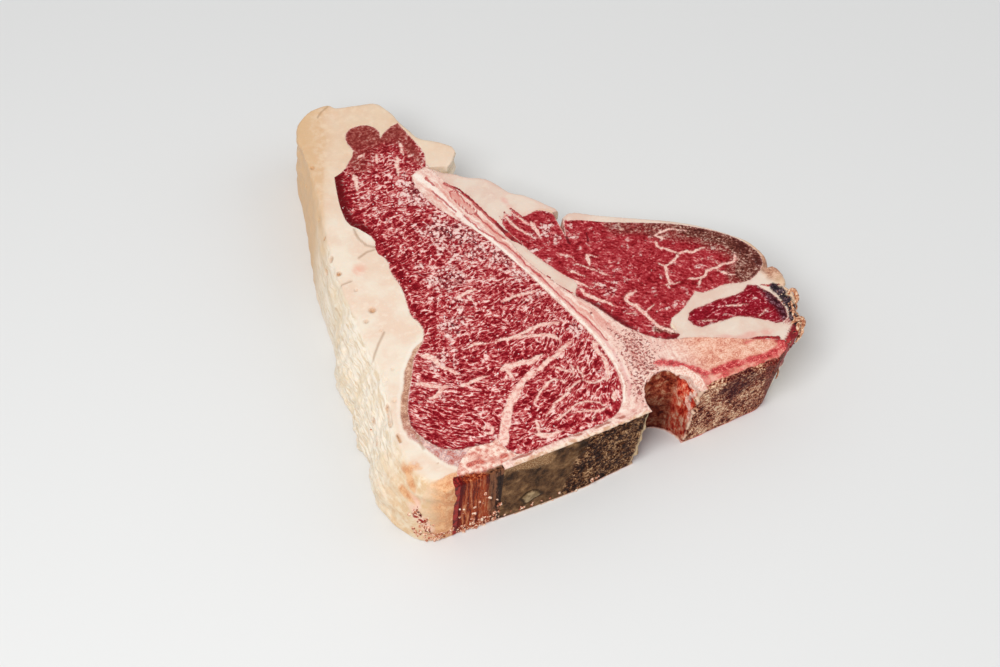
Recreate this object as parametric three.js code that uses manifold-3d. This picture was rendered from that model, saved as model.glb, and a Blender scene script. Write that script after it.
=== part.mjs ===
// A raw t-bone steak, lying flat on its lower cut face.
//
// One slice across the short loin: the strip loin on one side of the T-shaped bone, the tenderloin
// on the other, with the fat that wraps them. Every muscle, the bone and each run of fat goes right
// through the slice, so each is a solid of its own with a hair's gap along its seams.
//
// Millimetres, +Z up. The drawing frame has X along the sawn midline of the carcass, from the back
// (-X) to the belly (+X), Y away from the sawn face, and its zero at the spinal canal. At the end
// the whole group moves so that its origin is at the bottom centre.

import * as THREE from 'three';
import { mergeVertices } from 'three/addons/utils/BufferGeometryUtils.js';
import Module from 'manifold-3d';

const wasm = await Module();
wasm.setup();

// ---- Driving dimensions -------------------------------------------------------------------------

const THICKNESS = 36; // height of the upper cut face
const SLANT = { back: -1.8, belly: -6.3 }; // how far X moves from the upper face to the foot
const SLANT_TURN = [-90, -15]; // where the slant goes over from the back's to the belly's
const GAP = 0.32; // clearance along every seam
const SEAM_STEP = 3.8; // spacing of the points along a seam
const RIM_STEP = 3.4; // spacing of the points round the outside
const TOP_CELL = 5.2; // size of the cells that carry the relief of the upper face
const CLEAR = 6; // how far a cutter stands past the slice, above and below

const CANAL = { x: 1.8, y: 2, halfWidth: 12.2, depth: 15.5 }; // half of the spinal canal
const RIM_BULGE = 1.4; // how far a side stands out at half height
const WALL_LUMP = 0.55; // height of the lumps on the outer fat
const SLIT_ROOM = [10, 20]; // the wall stays straight this near a slit's end, and is full from here

// The levels of the outer wall: height, share of the foot's outset, share of the rim's bulge.
const WALL_LEVELS = [
  [0, 0.86, -0.2],
  [2.5, 0.97, 0.45],
  [7, 1, 0.85],
  [13, 0.95, 1],
  [19.5, 0.84, 1],
  [25.5, 0.66, 0.85],
  [30, 0.45, 0.5],
  [33.4, 0.24, 0.1],
  [THICKNESS, 0, -0.75],
  [THICKNESS + 4, -0.3, -2.2],
];

// ---- Outlines at the upper face -----------------------------------------------------------------
// An outline is a list of stretches. Each stretch is a smooth curve through its points, and two
// stretches meet in a corner. On the outside of the slice a point's third number says how far the
// foot stands out past the upper edge there; a negative one is an undercut.

const FRONT_CORNER = [-104, 1.2, -2.4];
const BELLY_CORNER = [51, 0.4, -4.4];

const SAWN_FACE = [
  FRONT_CORNER, [-90, 0.9, -2], [-76, 0.6, -1.4], [-54, 0.4, -0.6], [-34, 0.4, -0.6],
  [-16, 0.4, -2], [6, 0.4, -2.6], [27, 0.4, -3.3], BELLY_CORNER,
];

const BELLY_TIP = [
  BELLY_CORNER, [54.5, 3, -3], [58.5, 5, -3.5], [62, 8, -5], [66, 9, -5], [69, 13, -5],
  [71.5, 16.5, -5], [70, 19.5, -4], [71.8, 23, -4], [75, 28, -4], [75.6, 31.5, -3], [75, 36, -2],
];

const FLAP_EDGE = [
  [75, 36, -2], [77, 41, -1.5], [78, 45, -1], [77, 47.7, -1], [75, 49.2, -0.5], [72.2, 48.6],
];

const TENDERLOIN_EDGE = [
  [72.2, 48.6], [75, 50.8], [76.2, 56], [74, 63.5], [69, 71.5], [60.5, 81], [50, 89.7],
  [38, 97.7], [27, 104.7], [18, 110.7], [11, 114.8], [6.4, 113.2],
];

const TENDERLOIN_SLIT_END = [2.6, 103.5];
const CUT_BESIDE_TENDERLOIN = [[6.4, 113.2], TENDERLOIN_SLIT_END, [4.8, 113.4]];

const TAIL_FAT_EDGE = [
  [4.8, 113.4], [7, 119.3], [3.2, 126], [0.2, 130.4], [-3.2, 135], [-6.3, 137.2], [-8, 140.5],
  [-14, 151], [-20, 154.7], [-25, 159.6], [-29.6, 162.2],
];

const BONE_SLIT_END = [-35.2, 168.4];
const SLIT_AT_BONE_TIP = [[-29.6, 162.2], BONE_SLIT_END, [-28.6, 163.6]];

const TAB_EDGE = [
  [-28.6, 163.6], [-24.4, 165.4], [-20, 169.6], [-17.6, 173.2], [-19.6, 177], [-24, 182.2],
  [-28.6, 186], [-31, 191.4], [-32.2, 199.6], [-33.8, 208.4], [-37, 216], [-45.4, 219.4],
  [-55.4, 222],
];

const BACK_EDGE = [
  [-55.4, 222], [-57.4, 225.6], [-63, 226], [-69.4, 224.6], [-75.2, 219.4, 0.2],
  [-78.8, 211.4, 0.4], [-80, 202, 1.4], [-84, 180, 3.8], [-88.4, 163, 4.6], [-92.4, 148, 5],
  [-96, 129, 5.3], [-97.6, 112, 6.4], [-99, 98, 10.3], [-100.4, 87, 11.6], [-102, 76, 9.4],
  [-103.8, 67, 10], [-105.6, 59, 10.2], [-107.4, 49, 7.8], [-109, 40, 10.4], [-111, 29, 10.4],
  [-111.6, 18, 7], [-110.4, 8, 2.6], FRONT_CORNER,
];

const STEAK = [
  SAWN_FACE, BELLY_TIP, FLAP_EDGE, TENDERLOIN_EDGE, CUT_BESIDE_TENDERLOIN, TAIL_FAT_EDGE,
  SLIT_AT_BONE_TIP, TAB_EDGE, BACK_EDGE,
];

const STRIP_LOIN = [
  // the two lobes at the tail, with a cleft between them
  [[-45.6, 194.2], [-44.6, 199], [-47, 203.4], [-52, 205.6], [-57, 205], [-60.4, 199.4],
    [-60, 191.4], [-64, 187], [-69, 182.4], [-74.2, 180.6]],
  // the side under the back fat
  [[-74.2, 180.6], [-76.8, 172], [-79.4, 161.6], [-80, 151.4], [-77.4, 147.4]],
  [[-77.4, 147.4], [-73.6, 138.4], [-76, 131], [-73.6, 125], [-75.2, 118], [-75, 106],
    [-77.8, 91], [-76.2, 83], [-79.4, 75.8], [-86.4, 69.6], [-91.6, 60.6], [-97.4, 51.6],
    [-101.6, 42.6], [-103, 36], [-101, 28.6], [-96.4, 20.6], [-91, 17], [-84, 16], [-78, 14.6],
    [-74.6, 15.6], [-72.8, 8], [-69, 3.8], [-60, 3.5]],
  // along the sawn spine
  [[-60, 3.5], [-31, 3.6]],
  [[-31, 3.6], [-24.4, 5.2], [-19, 10.2], [-15.6, 17], [-13.4, 26], [-12.8, 38], [-14, 50],
    [-16.6, 64], [-20, 80], [-23.6, 97], [-28.8, 116], [-34, 129], [-39.8, 141], [-43, 152],
    [-43.8, 161], [-42.8, 166.6]],
  // round the tip of the bone and up to the cleft
  [[-42.8, 166.6], [-38.6, 168.2], [-34.6, 168.8]],
  [[-34.6, 168.8], [-31.8, 177], [-32.8, 187], [-34.6, 199.4]],
  [[-34.6, 199.4], [-40, 198], [-45.6, 194.2]],
];

const BONE = [
  // the sawn face and the left end of the spine; the far side of this stretch lies in the strip loin
  [[-78, -CLEAR], [54, -CLEAR]],
  [[54, -CLEAR], [55.6, 3], [58.4, 9]],
  // the body of the vertebra and the transverse process, up to its gristly tip
  [[58.4, 9], [52, 12.4], [45, 16], [37.6, 20.2], [30, 24.2], [22, 28], [14.4, 30.4],
    [8.6, 34.8], [4.4, 40], [0.6, 46], [-1.8, 52], [-5, 61], [-10, 70.6], [-13.8, 80.4],
    [-17, 90.4], [-19.8, 101], [-20.6, 111], [-22, 124], [-24.6, 138], [-28.2, 149],
    [-31, 157], [-32.6, 163.4], [-33.6, 169.6]],
  [[-33.6, 169.6], [-46, 169.6]],
  [[-46, 169.6], [-48, 150], [-33, 100], [-28, 50], [-40, 8], [-68, 4.2]],
  [[-68, 4.2], [-78, 3]],
  [[-78, 3], [-78, -CLEAR]],
];

const TENDERLOIN = [
  // along the fat cover, from the cut beside it to the belly end
  [[3.6, 117], [6.4, 111.6], [12, 108.9], [20, 103.6], [30, 98.1], [40, 92.6], [48, 87.9],
    [56, 81.7], [62.4, 75.8], [67.6, 69.8], [71.4, 63], [73.2, 57], [72.4, 51.4], [68.6, 47.4],
    [62.4, 44.8]],
  // over the seam of fat
  [[62.4, 44.8], [57.6, 45.2], [52.6, 47], [47, 47.5], [41, 47.2], [38.4, 49.6], [36.4, 48.6],
    [31.6, 45.4], [26.6, 42.5], [21, 40.6], [18.6, 36], [20, 31]],
  // the side that lies against the bone
  [[20, 31], [10, 27], [-3, 38], [-12, 62], [-8.2, 72.4]],
  [[-8.2, 72.4], [-5.2, 76.4], [-7.4, 81], [-10, 87.4], [-12.8, 95], [-15.2, 102],
    [-16.8, 110], [-18.6, 117], [-18.8, 122]],
  // the ragged head
  [[-18.8, 122], [-15.4, 127.6], [-13.2, 124.6]],
  [[-13.2, 124.6], [-11.4, 128.6], [-8.4, 121], [-4, 122.6], [0.4, 121], [3.6, 117]],
];

const SIDE_MUSCLE = [
  [[27.2, 36.6], [29, 39.6], [33.4, 41], [39, 40.8], [45, 41], [51, 40.2], [56.4, 40.4],
    [60, 42.8]],
  [[60, 42.8], [62.6, 41.8], [65, 37.6], [67.4, 31.8], [68, 26], [67, 20.4], [63.4, 17.9],
    [60, 19], [56.4, 22.6], [51.4, 26.6], [46, 29.7], [40, 29.6], [35.6, 30.5], [31, 30.3],
    [28.2, 32.6], [27.2, 36.6]],
];

const LIGAMENT = [
  [[-98, -CLEAR], [-66, -CLEAR]],
  [[-66, -CLEAR], [-66, 12], [-72, 20]],
  [[-72, 20], [-80, 21], [-86.6, 15.4], [-92.4, 11.6], [-96.6, 6.6], [-98, 0]],
  [[-98, 0], [-98, -CLEAR]],
];

// Coarse zones that part the three runs of fat. Their inner edges lie inside the muscles and the
// bone, so they leave no face of their own.
const BACK_ZONE = [
  [-140, -20], [-80, -20], [-80, 10], [-66, 30], [-55, 110], [-50, 165], [-36, 169.2],
  [-28.9, 162.8], [-6, 150], [0, 240], [-140, 240],
];
const TAIL_ZONE = [
  [-35.4, 167.6], [-29.2, 162.8], [0, 165], [24, 140], [22, 123], [5.4, 113.6], [2.6, 103.5],
  [2, 90], [0, 74], [-9, 66], [-17, 78], [-24, 100], [-28, 130], [-36, 160],
];
const FLANK_ZONE = [
  [3.2, 104], [5.6, 113.3], [22, 122], [100, 130], [100, -20], [50, -20], [50, 5], [20, 24],
  [22, 55], [10, 95],
];

// ---- Curves and solids --------------------------------------------------------------------------

/** The points of one stretch, without its last point. Z carries the foot's outset. */
function sampleStretch(points, step) {
  const knots = points.map(([x, y, foot = 0]) => new THREE.Vector3(x, y, foot));
  if (points.length === 2) return knots.slice(0, 1);
  const curve = new THREE.CatmullRomCurve3(knots, false, 'centripetal');
  const count = Math.max(2, Math.round(curve.getLength() / step));
  return curve.getSpacedPoints(count).slice(0, -1);
}

/** A closed outline of points, counter-clockwise. */
function traceOutline(stretches, step) {
  const points = stretches.flatMap((stretch) => sampleStretch(stretch, step));
  return THREE.ShapeUtils.isClockWise(points) ? points.reverse() : points;
}

function toVector2({ x, y }) {
  return new THREE.Vector2(x, y);
}

/** The outward normals of a counter-clockwise outline, at its points. */
function outwardNormals(outline) {
  return outline.map((point, i) => {
    const before = outline.at(i - 1);
    const after = outline[(i + 1) % outline.length];
    const arriving = new THREE.Vector2(point.y - before.y, before.x - point.x).normalize();
    const leaving = new THREE.Vector2(after.y - point.y, point.x - after.x).normalize();
    const normal = arriving.clone().add(leaving).normalize();
    const mitre = Math.max(0.6, normal.dot(leaving));
    return normal.divideScalar(mitre);
  });
}

/** The same outline, moved outwards. */
function growOutline(outline, distance) {
  const normals = outwardNormals(outline);
  return outline.map((point, i) => toVector2(point).addScaledVector(normals[i], distance));
}

function toSolid(geometry) {
  geometry.deleteAttribute('normal');
  geometry.deleteAttribute('uv');
  const merged = mergeVertices(geometry, 1e-4);
  return new wasm.Manifold(new wasm.Mesh({
    numProp: 3,
    vertProperties: merged.attributes.position.array,
    triVerts: new Uint32Array(merged.index.array),
  }));
}

function toGeometry(solid) {
  const { vertProperties, triVerts } = solid.getMesh();
  const geometry = new THREE.BufferGeometry();
  geometry.setAttribute('position', new THREE.BufferAttribute(vertProperties, 3));
  geometry.setIndex(new THREE.BufferAttribute(triVerts, 1));
  return geometry;
}

/** A straight prism that stands past both faces of the slice. */
function makePrism(outline) {
  const geometry = new THREE.ExtrudeGeometry(new THREE.Shape(outline), {
    depth: THICKNESS + 2 * CLEAR,
    bevelEnabled: false,
  });
  geometry.translate(0, 0, -CLEAR);
  return toSolid(geometry);
}

// ---- The slice as a whole -----------------------------------------------------------------------

/** Lumps along the outer wall: long ridges that run along the side, broken by short dents. */
function wallLump(x, y, z) {
  const along = 0.16 * y + 0.09 * x;
  const ridges = Math.sin(0.62 * z + 1.7 * Math.sin(0.45 * along));
  const dents = Math.sin(2.1 * along + 0.35 * z) * Math.cos(1.3 * along - 0.2 * z + 1);
  return WALL_LUMP * (0.7 * ridges + dents);
}

/** 0 in a slit of the outline, 1 well away from it. */
function roomBesideSlits(x, y) {
  const distances = [TENDERLOIN_SLIT_END, BONE_SLIT_END].map(([sx, sy]) => Math.hypot(x - sx, y - sy));
  return THREE.MathUtils.smoothstep(Math.min(...distances), ...SLIT_ROOM);
}

function nearestPoint(outline, x, y) {
  const distances = outline.map((point) => (point.x - x) ** 2 + (point.y - y) ** 2);
  return distances.indexOf(Math.min(...distances));
}

/** How far the wall stands out past the upper edge, at one point of the outline and one level. */
function wallOutset(point, normal, [z, footShare, bulgeShare]) {
  const sawn = THREE.MathUtils.smoothstep(-normal.y, 0.75, 0.98);
  const back = THREE.MathUtils.smoothstep(-normal.x, 0.3, 0.8);
  const share = THREE.MathUtils.lerp(footShare, 1 - z / THICKNESS, sawn);
  const lump = z > 0 ? wallLump(point.x, point.y, z) : 0;
  const soft = (1 - sawn) * ((1 - back) * bulgeShare * RIM_BULGE + lump);
  return roomBesideSlits(point.x, point.y) * (share * point.z + soft);
}

/** The outside of the slice: rings of its outline at the wall's levels. */
function makeOuterWall() {
  const outline = traceOutline(STEAK, RIM_STEP);
  const normals = outwardNormals(outline);
  const last = WALL_LEVELS.length - 1;
  const geometry = new THREE.ExtrudeGeometry(new THREE.Shape(outline.map(toVector2)), {
    depth: last,
    steps: last,
    bevelEnabled: false,
  });
  const position = geometry.attributes.position;
  for (let i = 0; i < position.count; i += 1) {
    const x = position.getX(i);
    const y = position.getY(i);
    const index = nearestPoint(outline, x, y);
    const level = WALL_LEVELS[Math.round(position.getZ(i))];
    const outset = wallOutset(outline[index], normals[index], level);
    position.setXYZ(i, x + outset * normals[index].x, y + outset * normals[index].y, level[0]);
  }
  return toSolid(geometry);
}

/** Height of the upper face: cut muscle swells a little, and fat and bone keep the cut's plane. */
function upperFace(x, y) {
  const swell = (cx, cy, rx, ry) => Math.exp(-(((x - cx) / rx) ** 2) - ((y - cy) / ry) ** 2);
  const drift = 0.35 * Math.sin(0.055 * x + 0.8) * Math.cos(0.041 * y);
  return THICKNESS + drift + 0.9 * swell(-58, 62, 30, 62) + 0.8 * swell(30, 74, 30, 22)
    - 0.7 * swell(-20, 90, 12, 70);
}

/** A block that reaches up to the relief of the upper face. */
function makeBlockUnderUpperFace() {
  const box = new THREE.Box3(new THREE.Vector3(-140, -20, -CLEAR), new THREE.Vector3(100, 240, 0));
  const size = box.getSize(new THREE.Vector3());
  const centre = box.getCenter(new THREE.Vector3());
  const cellsX = Math.round(size.x / TOP_CELL);
  const cellsY = Math.round(size.y / TOP_CELL);
  const geometry = new THREE.BoxGeometry(size.x, size.y, size.z, cellsX, cellsY, 1);
  geometry.translate(centre.x, centre.y, centre.z);
  const position = geometry.attributes.position;
  for (let i = 0; i < position.count; i += 1) {
    const atTop = position.getZ(i) > -CLEAR / 2;
    if (atTop) position.setZ(i, upperFace(position.getX(i), position.getY(i)));
  }
  return toSolid(geometry);
}

/** Half of the spinal canal, sawn open. */
function makeCanal() {
  const curve = new THREE.EllipseCurve(
    CANAL.x, CANAL.y, CANAL.halfWidth, CANAL.depth, 0, Math.PI, false, 0,
  );
  const mouth = [
    new THREE.Vector2(CANAL.x - CANAL.halfWidth, -CLEAR),
    new THREE.Vector2(CANAL.x + CANAL.halfWidth, -CLEAR),
  ];
  return makePrism([...curve.getPoints(16), ...mouth]);
}

function makeSlice() {
  return makeOuterWall().intersect(makeBlockUnderUpperFace()).subtract(makeCanal());
}

// ---- The pieces ---------------------------------------------------------------------------------

/** An outline with its prism and the slightly larger prism that cuts its bed in the neighbours. */
function makeCutters(stretches) {
  const outline = traceOutline(stretches, SEAM_STEP);
  return { body: makePrism(outline.map(toVector2)), bed: makePrism(growOutline(outline, GAP)) };
}

function makeZone(corners) {
  return makePrism(corners.map(([x, y]) => new THREE.Vector2(x, y)));
}

/** Sets the slice aslant, as it was cut: the foot moves along X against the upper face. */
function slant(geometry) {
  const position = geometry.attributes.position;
  for (let i = 0; i < position.count; i += 1) {
    const x = position.getX(i);
    const turn = THREE.MathUtils.smoothstep(x, ...SLANT_TURN);
    const footShift = THREE.MathUtils.lerp(SLANT.back, SLANT.belly, turn);
    position.setX(i, x + footShift * (1 - position.getZ(i) / THICKNESS));
  }
  geometry.computeVertexNormals();
  return geometry;
}

function makePiece(name, solid, color, roughness) {
  const material = new THREE.MeshStandardMaterial({ color, roughness, metalness: 0 });
  const mesh = new THREE.Mesh(slant(toGeometry(solid)), material);
  mesh.name = name;
  return mesh;
}

function makeSteak() {
  const slice = makeSlice();
  const strip = makeCutters(STRIP_LOIN);
  const bone = makeCutters(BONE);
  const tenderloin = makeCutters(TENDERLOIN);
  const side = makeCutters(SIDE_MUSCLE);
  const ligament = makeCutters(LIGAMENT);
  const aroundBone = slice.subtract(strip.bed);
  const aroundMuscles = aroundBone.subtract(bone.bed);
  const fat = aroundMuscles.subtract(tenderloin.bed).subtract(side.bed);
  const steak = new THREE.Group();
  steak.add(
    makePiece('strip_loin', slice.intersect(strip.body), 0x962f3a, 0.5),
    makePiece('t_bone', aroundBone.intersect(bone.body), 0xe6cbbb, 0.6),
    makePiece('tenderloin', aroundMuscles.intersect(tenderloin.body), 0xa23238, 0.5),
    makePiece('side_muscle', aroundMuscles.intersect(side.body), 0xa81c30, 0.45),
    makePiece('back_ligament', aroundMuscles.intersect(ligament.body), 0xcf9a72, 0.55),
    makePiece('back_fat', fat.subtract(ligament.bed).intersect(makeZone(BACK_ZONE)), 0xecd8c0, 0.6),
    makePiece('tail_fat', fat.intersect(makeZone(TAIL_ZONE)), 0xeedccb, 0.6),
    makePiece('flank_fat', fat.intersect(makeZone(FLANK_ZONE)), 0xecdccc, 0.55),
  );
  const box = new THREE.Box3().setFromObject(steak);
  const centre = box.getCenter(new THREE.Vector3());
  steak.position.set(-centre.x, -centre.y, -box.min.z);
  return steak;
}

export default makeSteak();
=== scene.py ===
# %% [markdown]
# # A raw t-bone steak
#
# A t-bone is one slice across the short loin of beef. A T-shaped bone parts two muscles, the broad
# strip loin and the small tenderloin, and firm fat wraps them. The CAD model holds each muscle, the
# bone and each run of fat as a closed solid with the true outline. This lesson dresses those solids:
# it turns them into one continuous body of food, parts it again along the same seams, and gives each
# piece its finish.
#
# Lengths are thought of in millimetres, because that is how meat is measured, and Blender gets
# metres. Places on the slice are given in the butcher's drawing: u runs along the sawn spine from
# the back to the belly, v away from it, and both are measured on the upper cut face.

import itertools
import math

import bmesh
import bpy
import numpy as np
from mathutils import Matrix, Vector, kdtree


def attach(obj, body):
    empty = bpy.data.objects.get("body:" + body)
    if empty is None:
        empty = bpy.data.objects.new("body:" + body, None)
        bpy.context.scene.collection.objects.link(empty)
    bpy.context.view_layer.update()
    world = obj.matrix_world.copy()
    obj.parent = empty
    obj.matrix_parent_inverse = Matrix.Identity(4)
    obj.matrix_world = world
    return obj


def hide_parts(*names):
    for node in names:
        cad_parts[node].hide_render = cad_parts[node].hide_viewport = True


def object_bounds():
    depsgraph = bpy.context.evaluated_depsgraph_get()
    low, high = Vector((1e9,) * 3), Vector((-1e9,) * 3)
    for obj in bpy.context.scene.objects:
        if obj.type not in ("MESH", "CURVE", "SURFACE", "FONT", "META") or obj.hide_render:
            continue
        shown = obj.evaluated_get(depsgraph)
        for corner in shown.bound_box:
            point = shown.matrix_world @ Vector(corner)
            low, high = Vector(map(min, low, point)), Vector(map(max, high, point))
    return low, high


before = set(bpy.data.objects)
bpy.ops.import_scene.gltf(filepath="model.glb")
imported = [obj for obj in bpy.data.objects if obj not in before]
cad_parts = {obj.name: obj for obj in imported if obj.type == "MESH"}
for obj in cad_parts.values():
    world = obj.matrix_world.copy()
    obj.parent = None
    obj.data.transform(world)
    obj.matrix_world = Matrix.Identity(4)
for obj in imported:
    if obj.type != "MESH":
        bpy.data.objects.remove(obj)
cad_low, cad_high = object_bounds()

MM = 0.001
DRAWING_LOW = (-123.186, 0.361)  # where the steak's box begins in the drawing
THICKNESS = 36.0  # height of the upper cut face
shift_u = cad_low.x / MM - DRAWING_LOW[0]
shift_v = cad_low.y / MM - DRAWING_LOW[1]
print("steak", [round(n / MM, 1) for n in cad_high - cad_low], "mm")
print("the drawing is shifted by", round(shift_u, 2), round(shift_v, 2), "mm")

# %% [markdown]
# ## Where the eye stands
#
# The camera looks down at the steak from the front left with a long lens, so the slice keeps its
# proportions. It aims at a point of the upper face, given in the drawing like everything else.

# %% Camera
AIM = (-48.2, 65.5)  # the point of the upper face in the middle of the view
AZIMUTH, ELEVATION = math.radians(-26.3), math.radians(50)
DISTANCE = 1.0035
LENS, SENSOR = 85, 36

aim = Vector(((AIM[0] + shift_u) * MM, (AIM[1] + shift_v) * MM, THICKNESS * MM))
back = Vector((
    math.sin(AZIMUTH) * math.cos(ELEVATION),
    -math.cos(AZIMUTH) * math.cos(ELEVATION),
    math.sin(ELEVATION),
))
scene = bpy.context.scene
camera = bpy.data.objects.new("camera", bpy.data.cameras.new("camera"))
camera.data.lens = LENS
camera.data.sensor_width = SENSOR
camera.location = aim + back * DISTANCE
camera.rotation_euler = (-back).to_track_quat("-Z", "Y").to_euler()
scene.collection.objects.link(camera)
scene.camera = camera
print("camera at", [round(n, 3) for n in camera.location])

# %% [markdown]
# ## Numbers that vary over a surface
#
# Meat has no straight edge and no even colour. Three small tools give that: smooth random numbers in
# space, the distance to a line drawn on the slice, and a soft step from one value to another. They
# work on whole arrays of points at once, with NumPy, which is far quicker than a loop in Python.

# %% Smooth random numbers and soft steps
LATTICE = 64  # cells before the random numbers repeat


def soft_step(value, low, high):
    """0 below low, 1 above high and smooth between; low may be the larger."""
    t = np.clip((value - low) / (high - low), 0, 1)
    return t * t * (3 - 2 * t)


def soft_noise(points, size, seed):
    """Smooth random numbers from -1 to 1 that change over `size` millimetres, one or three sizes."""
    table = np.random.default_rng(seed).uniform(-1, 1, (LATTICE,) * 3)
    q = points / np.asarray(size, float)
    cell = np.floor(q).astype(int)
    f = q - cell
    f = f * f * (3 - 2 * f)
    total = np.zeros(len(points))
    for corner in itertools.product((0, 1), repeat=3):
        weight = np.prod(np.where(corner, f, 1 - f), axis=1)
        i, j, k = ((cell + corner) % LATTICE).T
        total += weight * table[i, j, k]
    return total


def most(*layers):
    """The largest of several layers of numbers, point by point."""
    return np.maximum.reduce(layers)


print("a soft step from 0 to 1:", soft_step(np.linspace(0, 1, 5), 0, 1).round(2))

# %% Distances
def distance_to_path(places, path):
    """Distance of each place (u, v) to a path of points, and how far along it that is, 0 to 1."""
    path = np.asarray(path, float)
    best = np.full(len(places), 1e9)
    along = np.zeros(len(places))
    count = len(path) - 1
    for n in range(count):
        a, b = path[n, :2], path[n + 1, :2]
        run = b - a
        t = np.clip(((places - a) @ run) / (run @ run), 0, 1)
        d = np.linalg.norm(places - a - t[:, None] * run, axis=1)
        nearer = d < best
        best = np.where(nearer, d, best)
        along = np.where(nearer, (n + t) / count, along)
    return best, along


def depth_inside(places, outline):
    """Signed distance to a closed outline: above 0 inside it."""
    outline = np.asarray(outline, float)
    closed = np.vstack([outline, outline[:1]])
    distance, _ = distance_to_path(places, closed)
    u, v = places.T
    inside = np.zeros(len(places), bool)
    for (u0, v0), (u1, v1) in zip(closed[:-1], closed[1:]):
        crosses = (v0 > v) != (v1 > v)
        with np.errstate(divide="ignore", invalid="ignore"):
            at = u0 + (v - v0) * (u1 - u0) / (v1 - v0)
        inside ^= crosses & (u < at)
    return np.where(inside, distance, -distance)


square = [(0, 0), (10, 0), (10, 10), (0, 10)]
print("depth inside a square:", depth_inside(np.array([(5.0, 5.0), (12.0, 5.0)]), square))

# %% [markdown]
# ## From the frame to the drawing and back
#
# The slice was cut a little aslant, so its foot is moved along u against its upper face. A muscle
# runs through the slice, and its marbling with it. To find what belongs at a point of a side or of
# the underside, the slant is undone, which gives that point's place in the drawing.

# %% Places in the drawing
SLANT = {"back": -1.8, "belly": -6.3}  # how far u moves from the upper face to the foot
SLANT_TURN = (-90, -15)  # where the slant goes over from the back's to the belly's


def slant_at(u):
    return SLANT["back"] + (SLANT["belly"] - SLANT["back"]) * soft_step(u, *SLANT_TURN)


def drawing_places(points):
    """Places (u, v) in the drawing of points in the frame, both in millimetres."""
    u = points[:, 0] - shift_u
    low = 1 - points[:, 2] / THICKNESS
    flat = u.copy()
    for _ in range(3):
        flat = u - slant_at(flat) * low
    return np.column_stack([flat, points[:, 1] - shift_v])


def standing(path):
    """Points in the frame of places (u, v, z) in the drawing, both in millimetres."""
    u, v, z = np.asarray(path, float).T
    return np.column_stack([u + slant_at(u) * (1 - z / THICKNESS) + shift_u, v + shift_v, z])


SWELLS = [  # how high, where, and how wide: two muscles that swell, and the bone between them
    (0.9, (-58, 62), (30, 62)),
    (0.8, (30, 74), (30, 22)),
    (-0.7, (-20, 90), (12, 70)),
]


def face_height(places):
    """Height of the upper cut face: muscle swells a little, bone and fat keep the cut's plane."""
    u, v = places.T
    height = THICKNESS + 0.35 * np.sin(0.055 * u + 0.8) * np.cos(0.041 * v)
    for rise, (cu, cv), (ru, rv) in SWELLS:
        height = height + rise * np.exp(-(((u - cu) / ru) ** 2) - ((v - cv) / rv) ** 2)
    return height


print("the frame's origin is at", drawing_places(np.zeros((1, 3)))[0].round(1), "in the drawing")

# %% [markdown]
# A mesh can be changed corner by corner in a loop, but a quarter of a million corners would take
# minutes. NumPy moves them all at once, so a mesh is read into an array and written back from one.

# %% Meshes as arrays of millimetres
def array_of(items, key, width=1, kind=np.float32):
    """One property of every item of a collection, as the rows of an array."""
    flat = np.empty(len(items) * width, kind)
    items.foreach_get(key, flat)
    return flat.reshape(-1, width)


def points_of(mesh):
    return array_of(mesh.vertices, "co", 3).astype(float) / MM


def normals_of(mesh):
    return array_of(mesh.vertex_normals, "vector", 3).astype(float)


def move_to(mesh, points):
    mesh.vertices.foreach_set("co", (points * MM).astype(np.float32).ravel())
    mesh.update()


print("the bone's solid has", len(points_of(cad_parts["t_bone"].data)), "loose corners")

# %% Meshes and objects
def mesh_from(working, name):
    """A mesh from the bmesh that it was worked out in, which is freed."""
    mesh = bpy.data.meshes.new(name)
    working.to_mesh(mesh)
    working.free()
    return mesh


def object_of(mesh, name):
    made = bpy.data.objects.new(name, mesh)
    scene.collection.objects.link(made)
    return made


def with_modifiers(made):
    """The mesh of an object with its modifiers applied, and the object freed of them."""
    evaluated = made.evaluated_get(bpy.context.evaluated_depsgraph_get())
    mesh = bpy.data.meshes.new_from_object(evaluated)
    made.modifiers.clear()
    return mesh

# %% [markdown]
# ## One body of food
#
# On the real steak there is no gap between muscle, bone and fat: the knife left one flush face across
# all of them. The CAD solids keep a hair's gap, so they're copied, grown sideways by a little more
# than half of it and joined. A voxel remesh then melts the overlapping copies into one closed skin
# with small even faces, fine enough to carry relief.

# %% Copies of the CAD solids, grown sideways
SEAM_GROWTH = 0.25  # more than half of the gap along a seam
SAME_CORNER = 0.001  # corners nearer than this are one
SKIN_CELL = 0.62  # size of the skin's faces
MUSCLES_AND_BONE = ["strip_loin", "t_bone", "tenderloin", "side_muscle", "back_ligament"]
FATS = ["back_fat", "tail_fat", "flank_fat"]
NODES = MUSCLES_AND_BONE + FATS


def grown_copy(node):
    """A copy of a CAD solid with its loose triangles joined, grown sideways by the seam's growth."""
    working = bmesh.new()
    working.from_mesh(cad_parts[node].data)
    bmesh.ops.remove_doubles(working, verts=working.verts, dist=SAME_CORNER * MM)
    mesh = mesh_from(working, node + "_copy")
    points, normals = points_of(mesh), normals_of(mesh)
    level = normals * (1, 1, 0)
    reach = np.linalg.norm(level, axis=1, keepdims=True)
    move_to(mesh, points + SEAM_GROWTH * level / np.maximum(reach, 0.3))
    return mesh


print(len(MUSCLES_AND_BONE), "solids of muscle and bone,", len(FATS), "of fat")

# %% The skin
working = bmesh.new()
for node in NODES:
    working.from_mesh(grown_copy(node))
skin = object_of(mesh_from(working, "skin"), "skin")
remesh = skin.modifiers.new("skin", "REMESH")
remesh.mode = "VOXEL"
remesh.voxel_size = SKIN_CELL * MM
skin.data = with_modifiers(skin)
print("skin of", len(skin.data.vertices), "points")

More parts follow.
